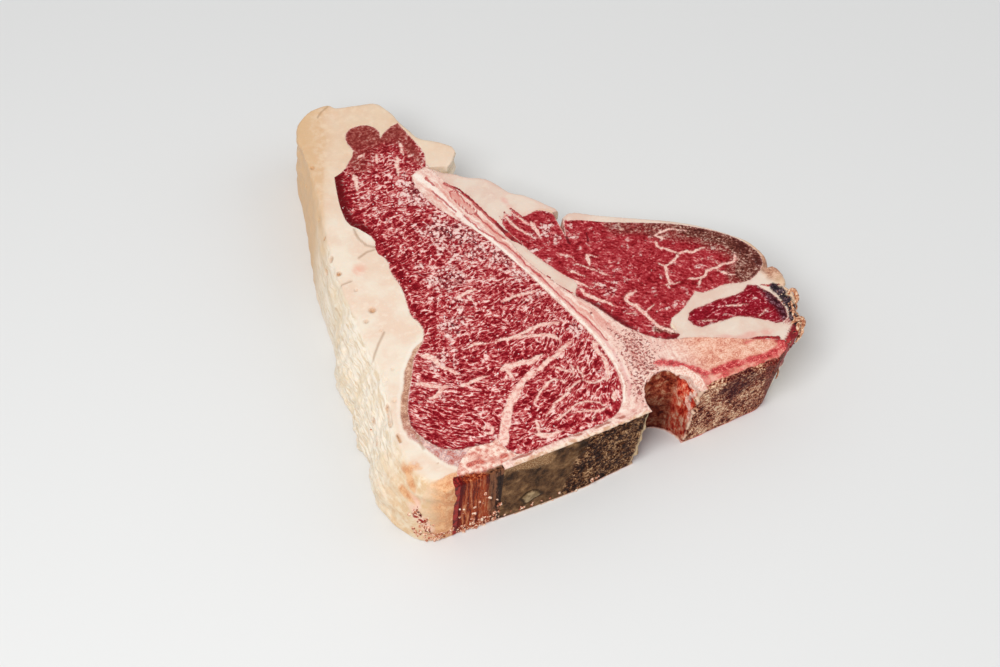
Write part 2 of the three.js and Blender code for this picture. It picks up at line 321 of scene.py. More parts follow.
# %% [markdown]
# ## Relief
#
# The sides of the steak say more than its outline: old back fat dries into long wrinkles and
# crumbly ridges, the sawn bone is spongy, and torn tissue lines the spinal canal. Each is a height
# in millimetres that moves the skin along its own normal. The two cut faces stay nearly flat, and
# the underside stays exactly flat, because the steak rests on it.

# %% Where the sides are
CANAL = {"u": 1.8, "v": 2, "half_width": 12.2, "depth": 15.5}
TIP = (72, 28)  # the ragged belly end


def canal_reach(u, v):
    """1 on the canal's wall, less in its hollow and more in the bone around it."""
    return np.hypot((u - CANAL["u"]) / CANAL["half_width"], (v - CANAL["v"]) / CANAL["depth"])


skin_points = points_of(skin.data)
skin_normals = normals_of(skin.data)
skin_places = drawing_places(skin_points)
u, v = skin_places.T
z = skin_points[:, 2]
side = soft_step(np.abs(skin_normals[:, 2]), 0.9, 0.4)
upper = soft_step(skin_normals[:, 2], 0.55, 0.95)
in_canal = soft_step(canal_reach(u, v), 1.16, 1.02)
sawn = side * soft_step(skin_normals[:, 1], -0.7, -0.93) * soft_step(v, 9, 6) * (1 - in_canal)
bony = sawn * soft_step(u, -80, -77) * soft_step(u, 57, 54)
soft_side = side * (1 - bony)
at_tip = side * soft_step(np.hypot(u - TIP[0], v - TIP[1]), 26, 8) * soft_step(u, 54, 62)
print("side points", int((side > 0.5).sum()), "bony", int((bony > 0.5).sum()))

# %% [markdown]
# The knife that trimmed the back fat rounded its upper edge, so the wrinkled outside reaches a good
# way onto the upper face. A bevel would round the edge by the same amount everywhere. So the line
# where the rounding starts is drawn instead, and all that lies past it sinks a little.

# %% The rounded edge of the back fat
ROLL_LINE = [
    (-59, 224.5), (-66, 218.5), (-70, 206), (-74.3, 196.6), (-78.2, 187), (-84, 175), (-91, 156), (-98, 136),
    (-101, 124), (-102.5, 112), (-102, 99), (-101, 87), (-101.2, 74), (-102, 63), (-105, 53), (-108.5, 44),
    (-110.8, 34), (-111.5, 25), (-111, 16), (-107.5, 8.5), (-101, 5),
]
OUTSIDE = [(-101, -20), (-160, -20), (-160, 260), (-55, 260)]


def past_roll(places):
    """Distance past the line where the back fat's upper face ends, below 0 on the face itself."""
    return depth_inside(places, ROLL_LINE + OUTSIDE)


def unrolled(points, past):
    """The points with the rounded edge laid flat, so that a wrinkle runs over it unbroken."""
    return points - np.column_stack([0 * past, 0 * past, np.clip(past, 0, 30)])


outer = past_roll(skin_places)
on_roll = soft_step(outer, -0.5, 1.5) * (1 - bony)
crumbly = np.maximum(soft_side, upper * on_roll) * soft_step(v, 122, 96) * soft_step(u, -68, -88)
sag = (0.25 + 0.16 * np.clip(outer, 0, 12)) * on_roll * soft_step(v, 190, 110)
sag += 0.9 * (1 - soft_side) * soft_step(v, 3.4, 0.4) * soft_step(u, 13, 18) * soft_step(u, 58, 54)
skin_points[:, 2] -= sag * soft_step(z, 14, 34)
print("the edge sinks up to", round(float(sag.max()), 1), "mm")

# %% [markdown]
# Old fat shrinks as it dries. It lies in soft cords with sharp creases between them, and small vessels
# leave pores in it. Cords could be sculpted one by one. The size of smooth noise without its sign
# gives them at once, because it is creased wherever the noise passes through 0. The pores that matter
# are few, so they're placed one by one.

# %% Cords and pores of old fat
def cords(points, seed):
    """Soft cords with sharp creases between them, long along a side and narrow across it."""
    bent = points.copy()
    bent[:, 2] += 2.8 * soft_noise(points, 19, seed)
    broad = np.abs(soft_noise(bent, (14, 14, 5.2), seed + 1))
    fine = np.abs(soft_noise(bent, (6, 6, 2.2), seed + 2))
    patchy = np.clip(0.75 + 0.8 * soft_noise(points, 9, seed + 3), 0.1, 1.3)
    return patchy * (1.5 * broad + 0.7 * fine - 0.7)


PORES = [  # place, height and radius
    (-95.6, 136.7, 35.3, 2.1), (-96, 126.7, 36, 1.8), (-98, 137, 28, 2.2), (-91.5, 101.5, 36, 2.2),
    (-96.3, 97.1, 36, 1.6), (-102.1, 64.1, 36, 1.2), (-103.6, 52.4, 36, 1.0), (-93.2, 114.9, 36, 1.0),
    (-97.2, 68.2, 36, 1.0), (-92.6, 89.7, 36, 0.9), (-92.4, 150, 34, 1.5), (-90, 163, 33, 1.3),
    (-101.6, 14.9, 36, 0.6), (-80.9, 190.7, 36, 1.5), (-83.7, 188.5, 33, 0.8), (-84.4, 189.7, 27, 0.7),
    (-100, 123, 29, 1.1), (-109, 60, 24, 1.2), (-113, 38, 16, 1.3), (-106, 84, 20, 1.1),
]
PORE_SLITS = [  # width, height, and the path of places
    (1.3, 35.4, [(-107.5, 51.3), (-108.8, 46.7), (-110.1, 42)]),
    (1.0, 36, [(-110, 35.5), (-110.3, 32)]),
    (1.2, 26.5, [(-112.5, 54.3), (-114.5, 47.5), (-117, 40.6)]),
    (1.2, 29, [(-115.6, 36.2), (-116.8, 30.8), (-117.7, 25.9)]),
]


def pore_depth(places, z):
    """1 in the middle of a pore or slit of the back fat, 0 away from them."""
    depth = np.zeros(len(z))
    for pu, pv, pz, radius in PORES:
        away = np.sqrt(((places - (pu, pv)) ** 2).sum(1) + (z - pz) ** 2)
        depth = np.maximum(depth, soft_step(away, radius, 0.2 * radius))
    for width, pz, path in PORE_SLITS:
        away, _ = distance_to_path(places, path)
        depth = np.maximum(depth, soft_step(np.hypot(away, 0.5 * (z - pz)), width, 0.2 * width))
    return depth


print(len(PORES), "pores and", len(PORE_SLITS), "slits")

# %% [markdown]
# Every kind of relief is worked out over the whole skin and faded in only where it belongs. The skin
# could be cut into regions first, but then a border would show between two kinds of relief.

# %% Height of the relief
CHIP = [  # outline in u and z of the flake that the saw left standing
    (-68.4, 10.2), (-66.4, 12.2), (-63, 13), (-60.6, 11.4), (-58.2, 8.3), (-61.6, 7.6), (-65.8, 5.4),
]

laid = unrolled(skin_points, outer)
crumbled = (
    0.62 * cords(laid * (1, 1, 0.85), 31) + 0.60 * soft_noise(laid, (3.4, 3.4, 2.0), 41)
    + 0.36 * soft_noise(laid, (1.9, 1.9, 1.3), 42))
calm = 0.15 + 0.85 * soft_step(v, 14, 42)
height = soft_side * (1 - at_tip) * 0.34 * calm * cords(laid, 11)
height += crumbly * calm * crumbled
torn = 1.3 * soft_noise(skin_points, (5, 5, 3.4), 51) + 0.9 * soft_noise(skin_points, (2.2, 2.2, 1.8), 52)
height += at_tip * torn
holes = soft_step(soft_noise(skin_points, 2.3, 62), 0.15, 0.6)
height += bony * soft_step(u, -52, -40) * (0.30 * soft_noise(skin_points, 1.6, 61) - 0.42 * holes)
height += 0.7 * bony * soft_step(depth_inside(np.column_stack([u, z]), CHIP), 0, 0.7)
height += side * in_canal * (1.1 * soft_noise(skin_points, 4.0, 71) + 0.6 * soft_noise(skin_points, 1.9, 72))
height += upper * (0.10 * soft_noise(skin_points, 6.5, 81) + 0.07 * soft_noise(skin_points, 2.4, 82))
height -= 0.9 * pore_depth(skin_places, skin_points[:, 2]) * soft_step(u, -60, -75)
height *= soft_step(z, 0.4, 2.2)
move_to(skin.data, skin_points + height[:, None] * skin_normals)
print("relief from", round(height.min(), 2), "to", round(height.max(), 2), "mm")

# %% [markdown]
# ## Parting the body along its seams
#
# On the steak the pieces grew together, and only a thin seam parts them. Separate meshes could be
# modelled side by side, but each would need a relief of its own, and gaps would open between them.
# So the finished body is cut instead: a boolean takes out each muscle, the bone and the ligament with
# a tall copy of its own CAD solid. Neighbours meet without a gap and share the relief. What is left
# over is the fat, in its three runs.

# %% Cutters
FACE_REACH = 7.0  # how far a cutter stands past the two cut faces
NEAR_TOP, NEAR_FOOT = 1.6, 0.5  # corners this near to a cut face are moved past it
SAWN_NODES = ("t_bone", "back_ligament")  # the pieces that reach the sawn side


def tall_cutter(node):
    """A copy of a CAD solid that stands past both cut faces, and past the sawn side if it is there."""
    mesh = grown_copy(node)
    points, normals = points_of(mesh), normals_of(mesh)
    places = drawing_places(points)
    above = points[:, 2] > THICKNESS - NEAR_TOP
    below = points[:, 2] < NEAR_FOOT
    rise = FACE_REACH * above - FACE_REACH * below
    points[:, 0] -= slant_at(places[:, 0]) * rise / THICKNESS
    points[:, 2] += rise
    if node in SAWN_NODES:
        aside = np.abs(places[:, 0] - CANAL["u"]) > CANAL["half_width"] - 0.6
        front = aside & (normals[:, 1] < -0.55) & (places[:, 1] < 7)
        points[front, 1] -= FACE_REACH
    move_to(mesh, points)
    return mesh


def prism_through(outline, name):
    """A slanted prism through the whole slice, over an outline of places in the drawing."""
    prism = bmesh.new()
    rings = []
    for level in (-FACE_REACH, THICKNESS + FACE_REACH):
        lean = slant_at(np.array([pu for pu, _ in outline])) * (1 - level / THICKNESS)
        rings.append([
            prism.verts.new(((pu + du + shift_u) * MM, (pv + shift_v) * MM, level * MM))
            for (pu, pv), du in zip(outline, lean)
        ])
    foot, head = rings
    prism.faces.new(foot[::-1])
    prism.faces.new(head)
    for a, b, c, d in zip(foot, foot[1:] + foot[:1], head[1:] + head[:1], head):
        prism.faces.new((a, b, c, d))
    bmesh.ops.recalc_face_normals(prism, faces=prism.faces)
    return object_of(mesh_from(prism, name), name)


def boolean(target, cutter, operation):
    """The mesh of target after one boolean with the cutter's mesh."""
    modifier = target.modifiers.new("cut", "BOOLEAN")
    modifier.operation = operation
    modifier.solver = "MANIFOLD"
    modifier.object = cutter
    return with_modifiers(target)

# %% Open the two slits, where the knife went in
SLITS = {
    "beside_tenderloin": [(8.2, 118), (2.6, 103.2), (3.6, 118)],
    "at_bone_tip": [(-26.5, 160), (-35.6, 168.8), (-25, 164.6)],
}
for name, outline in SLITS.items():
    wedge = prism_through(outline, name)
    skin.data = boolean(skin, wedge, "DIFFERENCE")
    bpy.data.objects.remove(wedge)
print(len(SLITS), "slits; the skin has", len(skin.data.vertices), "points")

# %% Cut out the muscles, the bone and the ligament
LINING = 2.5  # depth of the tissue that lines the canal
canal_turns = np.linspace(0, 2 * math.pi, 40, endpoint=False)
canal_outline = np.column_stack([
    CANAL["u"] + (CANAL["half_width"] + LINING) * np.cos(canal_turns),
    CANAL["v"] + (CANAL["depth"] + LINING) * np.sin(canal_turns),
])
parts = {}
for node in MUSCLES_AND_BONE:
    cutter = object_of(tall_cutter(node), node + "_cutter")
    if node == "t_bone":
        filling = prism_through(canal_outline, "canal_filling")
        cutter.data = boolean(cutter, filling, "UNION")
        bpy.data.objects.remove(filling)
    parts[node] = boolean(skin, cutter, "INTERSECT")
    skin.data = boolean(skin, cutter, "DIFFERENCE")
    bpy.data.objects.remove(cutter)
    print(node, len(parts[node].vertices), "points; left", len(skin.data.vertices))


# %% The three runs of fat are what is left
def loose_shells(mesh):
    """A number for each vertex: which loose shell of the mesh it belongs to."""
    a, b = array_of(mesh.edges, "vertices", 2, np.int32).T
    label = np.arange(len(mesh.vertices))
    while True:
        low = np.minimum(label[a], label[b])
        before = label.copy()
        np.minimum.at(label, a, low)
        np.minimum.at(label, b, low)
        label = label[label]
        if (label == before).all():
            return label


def nearest_fat(points):
    """The CAD run of fat whose surface lies nearest to the points of a shell, judged by a sample."""
    some = points[:: max(1, len(points) // 60)]

    def distance_to(node):
        solid = points_of(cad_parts[node].data)[::7]
        return np.linalg.norm(some[:, None] - solid[None], axis=2).min(1).mean()

    return min(FATS, key=distance_to)


def kept_vertices(mesh, keep, name):
    """A copy of the mesh with only the vertices that are kept."""
    part = bmesh.new()
    part.from_mesh(mesh)
    part.verts.ensure_lookup_table()
    bmesh.ops.delete(part, geom=[part.verts[i] for i in np.flatnonzero(~keep)], context="VERTS")
    return mesh_from(part, name)


CRUMB_POINTS = 60  # a shell of fewer points is a crumb of the cut, and is left out
label = loose_shells(skin.data)
fat_points = points_of(skin.data)
for shell, count in zip(*np.unique(label, return_counts=True)):
    if count > CRUMB_POINTS:
        node = nearest_fat(fat_points[label == shell])
        parts[node] = kept_vertices(skin.data, label == shell, node)
        print(node, count, "points")
bpy.data.objects.remove(skin)

# %% [markdown]
# ## What belongs where on each piece
#
# A finish needs to know its place: where a vein of fat runs, how densely the muscle is marbled, how
# near the seam is. A picture wrapped round the steak could say it, but it would have to be painted
# first, and it would smear down the sides. So each of these is worked out once for every point of a
# piece and kept in the mesh as a named attribute, which the shaders then read.

# %% Attributes
pieces = {}


class Piece:
    """One finished piece: its object, its points in millimetres and their places in the drawing."""

    def __init__(self, node, name):
        self.node = node
        self.mesh = parts[node]
        self.object = object_of(self.mesh, name)
        self.points = points_of(self.mesh)
        self.normals = normals_of(self.mesh)
        self.places = drawing_places(self.points)
        self.top = face_height(self.places)
        self.z = self.points[:, 2]
        pieces[node] = self

    def noise(self, size, seed):
        return soft_noise(self.points, size, seed)

    def write(self, **layers):
        """Keeps layers of numbers, one for each point, as attributes of the mesh."""
        for name, values in layers.items():
            attribute = self.mesh.attributes.get(name) or self.mesh.attributes.new(name, "FLOAT", "POINT")
            attribute.data.foreach_set("value", values.astype(np.float32))

    def write_vectors(self, name, columns):
        data = np.column_stack(columns).astype(np.float32).ravel()
        self.mesh.attributes.new(name, "FLOAT_VECTOR", "POINT").data.foreach_set("vector", data)


strip = Piece("strip_loin", "strip_loin_meat")
bone = Piece("t_bone", "t_bone_sawn")
tenderloin = Piece("tenderloin", "tenderloin_meat")
side_muscle = Piece("side_muscle", "side_muscle_meat")
ligament = Piece("back_ligament", "back_ligament_band")
back_fat = Piece("back_fat", "back_fat_cap")
tail = Piece("tail_fat", "tail_fat_wedge")
flank = Piece("flank_fat", "flank_fat_edge")
print(len(pieces), "pieces with", sum(len(piece.z) for piece in pieces.values()), "points")

# %% Distance to the seams, and where the sides are
def seam_distance(piece):
    """Distance of each point to the piece's own cut edge, measured on the cut face."""
    edge = (np.abs(piece.normals[:, 2]) < 0.9) & (piece.z > piece.top - 0.5)
    tree = kdtree.KDTree(int(edge.sum()))
    for n, (pu, pv) in enumerate(piece.places[edge]):
        tree.insert((pu, pv, 0), n)
    tree.balance()
    return np.array([tree.find((pu, pv, 0))[2] for pu, pv in piece.places])


for piece in pieces.values():
    under_top = soft_step(piece.top - piece.z, 0.3, 1.5)
    over_foot = soft_step(piece.z, 0.3, 1.5)
    piece.side = under_top * over_foot
    piece.seam = seam_distance(piece)
    piece.write(side=piece.side)
print("the strip loin reaches", round(float(strip.seam.max())), "mm from its seams")

# %% [markdown]
# ## Marbling
#
# Fat runs between the bundles of muscle in branching veins, and lies as fine flecks within them.
# Noise alone could make both, but its veins would end and turn at random, and each steak has its own.
# So the thick veins are drawn one by one: a vein is a path of places with its width. The flecks are
# left to the shader, which only needs to know how dense they are, and which way the bundles run.

# %% Veins of the strip loin
STRIP_VEINS = [  # width at the start, width at the end, and the path
    (4.4, 2.8, [(-74.7, 10.5), (-70.2, 17), (-66.2, 23), (-61.5, 29), (-56, 34), (-50, 38), (-44, 40)]),
    (2.3, 1.4, [(-44, 40), (-38, 42.5), (-32, 44.5), (-27, 47), (-22, 49)]),
    (1.6, 1.4, [(-53, 61.5), (-42, 60.5), (-37, 61), (-31, 62), (-21, 60)]),
    (1.4, 2.0, [(-45, 60), (-38, 58), (-33, 56.5), (-29, 54), (-27, 51)]),
    (3.2, 2.2, [(-57, 46), (-54, 47), (-44, 46), (-38, 47)]),
    (2.8, 1.0, [(-55, 46), (-54, 40)]),
    (2.6, 1.8, [(-84, 70), (-80, 66), (-79, 61), (-76, 56), (-73, 52.5)]),
    (1.6, 1.9, [(-92, 57), (-88, 54), (-83, 49)]),
    (1.7, 1.9, [(-91, 47), (-87, 46.5), (-83, 49), (-79, 49)]),
    (1.4, 1.3, [(-77, 46.5), (-70, 47), (-64, 47)]),
    (1.2, 1.1, [(-66, 63), (-60, 64), (-55, 62)]),
    (1.3, 1.2, [(-77.5, 21), (-75.5, 23), (-73.5, 21), (-75.5, 19), (-77.5, 21)]),
    (1.0, 0.9, [(-53.5, 23.7), (-47.3, 29), (-41.8, 32.2), (-37, 31.8), (-35.3, 29)]),
    (0.9, 1.0, [(-52.1, 15.8), (-44.9, 20.9), (-37.9, 23.9), (-31.6, 27.1), (-28.9, 27.8)]),
    (0.8, 1.0, [(-49.7, 13.1), (-42.6, 14.9), (-38.5, 16.8), (-33.6, 17.3), (-29.3, 15.2), (-25.8, 11.5)]),
    (1.0, 0.9, [(-37.4, 38.5), (-34.3, 37), (-32.4, 34.5), (-29.7, 33.7), (-28.9, 36.8)]),
    (0.9, 0.9, [(-29.7, 33.7), (-31.2, 30.9)]),
    (0.9, 0.9, [(-26.4, 35.6), (-27.4, 32.1), (-26.6, 30.7), (-28.5, 27.1)]),
    (0.9, 1.2, [(-28.9, 27.8), (-24.7, 23.8), (-21.4, 24.1), (-18.1, 24.5)]),
    (1.0, 1.1, [(-40, 14), (-34, 12), (-30, 10), (-26, 10.5)]),
    (3.0, 3.4, [(-22, 11.6), (-19.6, 15.8)]),
    (1.4, 2.4, [(-19.5, 22), (-16.5, 27), (-15.2, 34), (-15.4, 39), (-14.3, 45)]),
    (1.5, 1.0, [(-56, 17), (-57, 12), (-58, 8)]),
    (2.6, 1.6, [(-59, 11), (-55, 8), (-48, 7)]),
    (2.6, 2.2, [(-34.5, 7.4), (-32.5, 8.4)]),
    (1.4, 1.2, [(-40, 80), (-33, 81), (-22, 80)]),
    (2.2, 1.0, [(-57, 91), (-47, 92)]),
    (1.6, 0.8, [(-52, 91), (-51, 85)]),
    (1.5, 0.9, [(-39.2, 189), (-39.8, 184.4), (-40.6, 179.5)]),
    (2.0, 1.2, [(-43.2, 180.5), (-45.9, 175.2), (-48.2, 169)]),
    (2.4, 1.4, [(-65.6, 179), (-66.8, 174.1), (-68.5, 168)]),
    (2.4, 2.0, [(-39, 177.5), (-36.5, 178.5)]),
    (1.8, 1.0, [(-61, 187), (-56, 188.5)]),
    (1.6, 1.0, [(-52, 186), (-53.5, 180)]),
]

# %% Veins of the tenderloin and the side muscle
TENDERLOIN_VEINS = [
    (1.1, 1.3, [(36, 82.5), (35.5, 79), (38, 76), (41, 72), (45, 71), (48, 69.5), (54, 69.5)]),
    (1.2, 1.0, [(41, 72), (40, 69.5), (36, 68), (32.5, 68), (31, 71)]),
    (1.3, 0.9, [(32.5, 68), (32, 64), (30.5, 60), (30, 58)]),
    (0.8, 0.7, [(26.5, 58.5), (34, 57)]),
    (0.8, 0.6, [(28, 58), (29, 54)]),
    (1.2, 1.1, [(38, 57), (43, 55), (46, 55), (48, 57.5), (53, 57), (56, 58), (61, 57), (64, 61)]),
    (1.0, 0.6, [(54, 62), (54.5, 58)]),
    (1.1, 0.7, [(52, 56), (55, 52), (58, 50.5)]),
    (0.9, 0.7, [(44, 55), (40, 51)]),
    (1.6, 1.3, [(15, 60.5), (10, 60), (9, 57), (11, 53), (12.5, 48), (13, 44), (14, 40), (16, 36), (20, 32)]),
    (1.0, 0.8, [(12.5, 48), (16, 50), (19, 51)]),
    (0.8, 0.7, [(5, 51), (10, 49.5)]),
    (2.0, 1.1, [(5.5, 89.5), (5, 86), (4, 82)]),
    (1.2, 0.7, [(5, 89.5), (10, 85.5)]),
    (2.8, 1.0, [(-7, 117.5), (-7.6, 112.7), (-8, 107)]),
    (1.3, 0.9, [(-15.2, 130), (-15.7, 121.3), (-13, 114), (-10, 108)]),
    (1.0, 0.8, [(-12, 127), (-10.4, 120.5), (-8, 115)]),
    (1.0, 0.8, [(-2, 88), (4, 80), (9, 74)]),
    (0.9, 0.7, [(-6, 96), (0, 90)]),
    (1.4, 1.2, [(18.5, 94), (19.5, 94)]),
    (1.3, 1.2, [(4.6, 100), (5.4, 100)]),
    (1.1, 1.0, [(8.6, 93), (9.4, 93)]),
    (1.2, 1.0, [(48.5, 64), (49.5, 64)]),
    (1.2, 1.0, [(31.5, 92), (32.5, 92)]),
    (1.1, 1.0, [(21, 55.5), (22, 55.5)]),
    (1.6, 1.3, [(69.2, 54.5), (70, 53.8)]),
    (1.5, 1.2, [(69.4, 50.4), (70, 49.6)]),
    (1.4, 1.2, [(66.2, 45.8), (66.8, 45)]),
    (1.2, 1.0, [(41, 81.5), (38, 85), (45, 86), (52, 81)]),
    (1.6, 0.6, [(-7, 80), (-3.5, 74), (0, 69)]),
    (1.3, 0.5, [(-6, 85), (-2.5, 81), (0, 77)]),
    (1.2, 0.6, [(-6, 74), (-5, 69)]),
    (2.0, 0.9, [(-6, 71), (-3.9, 66.6), (-1.2, 63.2), (1.2, 60.7), (3.2, 57.4)]),
    (0.9, 0.5, [(0, 74), (3, 70)]),
]
SIDE_VEINS = [
    (0.9, 0.7, [(31, 34), (38, 31)]),
    (0.9, 0.7, [(45, 37), (55, 33)]),
    (0.8, 0.7, [(55, 25), (60, 27)]),
]
print(len(STRIP_VEINS), "veins in the strip loin,", len(TENDERLOIN_VEINS), "in the tenderloin")

# %% Drawing veins, spots and bands
CURVE_STEPS = (0, 0.25, 0.5, 0.75)  # how far between two knots of a curve its points lie
VEIN_TAPER = 2.5  # how far from its end a vein starts to thin out


def smooth_path(path):
    """A Catmull-Rom curve through the points of a path, as a path of more points."""
    knots = np.asarray(path, float)
    knots = np.vstack([2 * knots[0] - knots[1], knots, 2 * knots[-1] - knots[-2]])
    out = []
    for a, b, c, d in zip(knots, knots[1:], knots[2:], knots[3:]):
        for t in CURVE_STEPS:
            out.append(0.5 * (2 * b + (c - a) * t + (2 * a - 5 * b + 4 * c - d) * t * t
                              + (3 * b - 3 * c + d - a) * t ** 3))
    return np.vstack([out, knots[-2]])


def vein_edge(places, veins):
    """Distance to the edge of the nearest vein, below 0 inside it. A vein thins out at its ends."""
    nearest = np.full(len(places), 30.0)
    for start, end, path in veins:
        curve = smooth_path(path)
        length = np.linalg.norm(np.diff(curve, axis=0), axis=1).sum()
        distance, along = distance_to_path(places, curve)
        from_end = np.minimum(along, 1 - along) * length
        width = (start + (end - start) * along) * (0.25 + 0.75 * soft_step(from_end, 0, VEIN_TAPER))
        nearest = np.minimum(nearest, distance - width / 2)
    return nearest


def wander(piece, reach, size, seed):
    """The piece's places, moved about by smooth noise, so that no line on it is drawn by a ruler."""
    shift = [soft_noise(piece.points, size, seed + n) for n in range(2)]
    return piece.places + reach * np.column_stack(shift)


def spot(places, centre, radii):
    """1 at a centre, falling softly to 0 at its radii."""
    (cu, cv), (ru, rv) = centre, radii
    return soft_step(np.hypot((places[:, 0] - cu) / ru, (places[:, 1] - cv) / rv), 1, 0)


def band(places, path, width, softness=0.6):
    """1 within a band along a path, 0 outside it."""
    distance, _ = distance_to_path(places, path)
    return soft_step(distance, width / 2 + softness, width / 2 - softness)


print("at the very edge a band is worth", band(np.array([(0.0, 1.0)]), [(-5, 0), (5, 0)], 2)[0])

# %% The strip loin
FROST = [  # how much denser the fine marbling is, where, and how wide; below 0 it is sparser
    (0.60, (-44, 155), (12, 12)), (0.55, (-46, 130), (14, 12)), (0.55, (-37, 122), (12, 10)),
    (0.50, (-27, 104), (11, 10)), (0.45, (-55, 103), (13, 11)), (0.35, (-40, 112), (14, 9)),
    (0.50, (-64, 78), (13, 9)), (0.45, (-76, 64), (12, 10)), (0.35, (-24, 78), (12, 7)),
    (0.40, (-18, 55), (8, 14)), (0.30, (-84, 46), (9, 6)), (0.25, (-55, 88), (10, 8)),
    (-0.4, (-62, 128), (8, 16)), (-0.3, (-52, 144), (6, 8)), (-0.5, (-51, 60), (12, 8)),
    (-0.5, (-47, 50), (10, 7)), (-0.4, (-47, 26), (12, 9)), (-0.4, (-38, 88), (11, 7)),
    (-0.4, (-44, 72), (10, 6)), (-0.3, (-95, 26), (7, 12)),
]
p = wander(strip, 0.7, 3.4, 101)
u, v = p.T
bend = 0.012 * (u + 57) ** 2 * soft_step(v, 95, 55) * soft_step(v, -5, 20)
strip.write_vectors("grain", [u, v - bend, strip.z])
left_edge = soft_step(strip.seam, 11, 2) * soft_step(u + 0.33 * v, -6, -14)
rim = strip.seam - 0.22 + 0.5 * left_edge * soft_step(v, 110, 140)
frost = 0.30 + 0.12 * soft_step(v, 76, 92) * soft_step(v, 180, 165)
for lift, centre, radii in FROST:
    frost += lift * spot(p, centre, radii)
frost -= 0.6 * left_edge * soft_step(v, 78, 92) + 0.5 * soft_step(v, 182, 194)
brown = 1.05 * soft_step(v, 174, 204) + 0.5 * spot(p, (-62, 180), (12, 14))
brown += 0.7 * spot(p, (-36, 178), (8, 16))
shade = 0.6 * soft_step(strip.seam, 2.4, 0.3) * soft_step(u, -70, -78) * soft_step(v, 60, 45)
shade += 0.85 * soft_step(strip.seam, 8, 0.5) * left_edge * soft_step(v, 132, 150) * soft_step(v, 190, 178)
shade += 0.5 * soft_step(strip.seam, 1.6, 0.3) * soft_step(v, 14, 8)
strip.write(
    vein=np.minimum(vein_edge(p, STRIP_VEINS), rim), frost=frost, brown=np.clip(brown, 0, 1),
    shade=np.clip(shade, 0, 1))
print("marbling from", round(frost.min(), 2), "to", round(frost.max(), 2))

# %% The tenderloin
TENDERLOIN_RIM = [(27, 100), (38, 93), (50, 85), (58, 78), (66, 70), (70, 62), (70, 54), (66, 49)]
BONE_SIDE = [
    (-11, 72), (-8, 66.7), (-3.9, 60.3), (-1.4, 52.6), (1.6, 45.7), (3.3, 39.5), (7.2, 34.4), (12, 31),
    (18, 30), (22, 28.6),
]
p = wander(tenderloin, 0.5, 3.0, 111)
u, v = p.T
tenderloin.write_vectors("grain", [u, v + 0.62 * u, tenderloin.z])
frost = 0.10 + 0.35 * spot(p, (-4, 108), (16, 14)) + 0.25 * spot(p, (5, 68), (14, 14))
rim, along = distance_to_path(p, TENDERLOIN_RIM)
brown = most(
    (0.62 + 0.38 * soft_step(along, 0.1, 0.4)) * soft_step(rim, 6 + 7 * along, 1 + 4 * along),
    0.6 * soft_step(rim, 11 + 7 * along, 4 + 5 * along),
    0.8 * band(p, [(13, 38), (19, 33), (25, 37)], 4, 2))
brown += (
    0.7 * spot(p, (71, 51.5), (4, 6)) + 0.5 * spot(p, (68, 63), (6, 9)) + 0.4 * spot(p, (56, 79), (8, 4)))
shade = 0.9 * band(p, BONE_SIDE, 3.6, 2.4)
shade += band(p, [(11.6, 100.6), (9.4, 95.4)], 0.9, 0.5) + band(p, [(3, 103), (2.2, 98)], 1.0, 0.5)
tenderloin.write(
    vein=np.minimum(vein_edge(p, TENDERLOIN_VEINS), tenderloin.seam - 0.15), frost=frost + 0.25,
    brown=brown, shade=np.clip(shade, 0, 1))
print("dried brown on", round(100 * float((brown > 0.5).mean())), "% of the tenderloin")

# %% The side muscle
p = wander(side_muscle, 0.5, 3.0, 121)
u, v = p.T
side_muscle.write_vectors("grain", [u, v + 0.1 * u, side_muscle.z])
side_muscle.write(
    vein=np.minimum(vein_edge(p, SIDE_VEINS), side_muscle.seam - 0.25), frost=np.full(len(p), 0.3),
    brown=soft_step(u, 60, 67), shade=0.5 * soft_step(side_muscle.seam, 2.0, 0.4))
print("the side muscle has", len(p), "points")

# %% [markdown]
# ## Marks on the bone
#
# Cut bone has a dense pale rim, pink marrow within, and red where the saw opened small vessels. On
# its sawn side the dense part is smooth and the spongy part full of holes, and the canal of the
# spinal cord keeps a torn lining. Each mark could be a mesh of its own, but it has no depth, so it is
# a band along a path or a soft spot, kept as an attribute, and a path is moved by one number.

# %% Lines on the bone
DENSE_RIM = [
    (-41, 166), (-37.4, 156.2), (-35.5, 143.5), (-33.2, 133), (-29.7, 120.5), (-25.4, 106.3),
    (-21.5, 91.7), (-18.3, 78.2), (-15.6, 65.2), (-13.2, 52), (-11.6, 40), (-11.8, 28), (-14, 17),
    (-19, 9),
]
RIM_LENGTH = 165
STREAKS = [  # width and path of the red lines along the stem
    (0.9, [(-38.6, 153.7), (-36.3, 145.4), (-34.4, 137.5)]),
    (0.9, [(-32.3, 134.9), (-29.4, 123.4), (-25.1, 113.7), (-22.1, 106.2), (-20.3, 96.3), (-18.3, 87.1)]),
    (0.8, [(-20, 94.6), (-17.7, 88.3), (-16.5, 79.6), (-13.5, 64.9), (-10.5, 52), (-9, 42)]),
    (1.0, [(-26.8, 132.2), (-25.7, 126.3), (-24.2, 120.1), (-21.8, 113.6)]),
    (1.3, [(-37.6, 162.8), (-36.2, 156.5)]),
    (2.0, [
        (-31.4, 155.5), (-27.3, 149), (-25, 142.4), (-23.5, 134), (-22.2, 126.9), (-20.1, 118.3),
        (-18, 109.9)]),
]
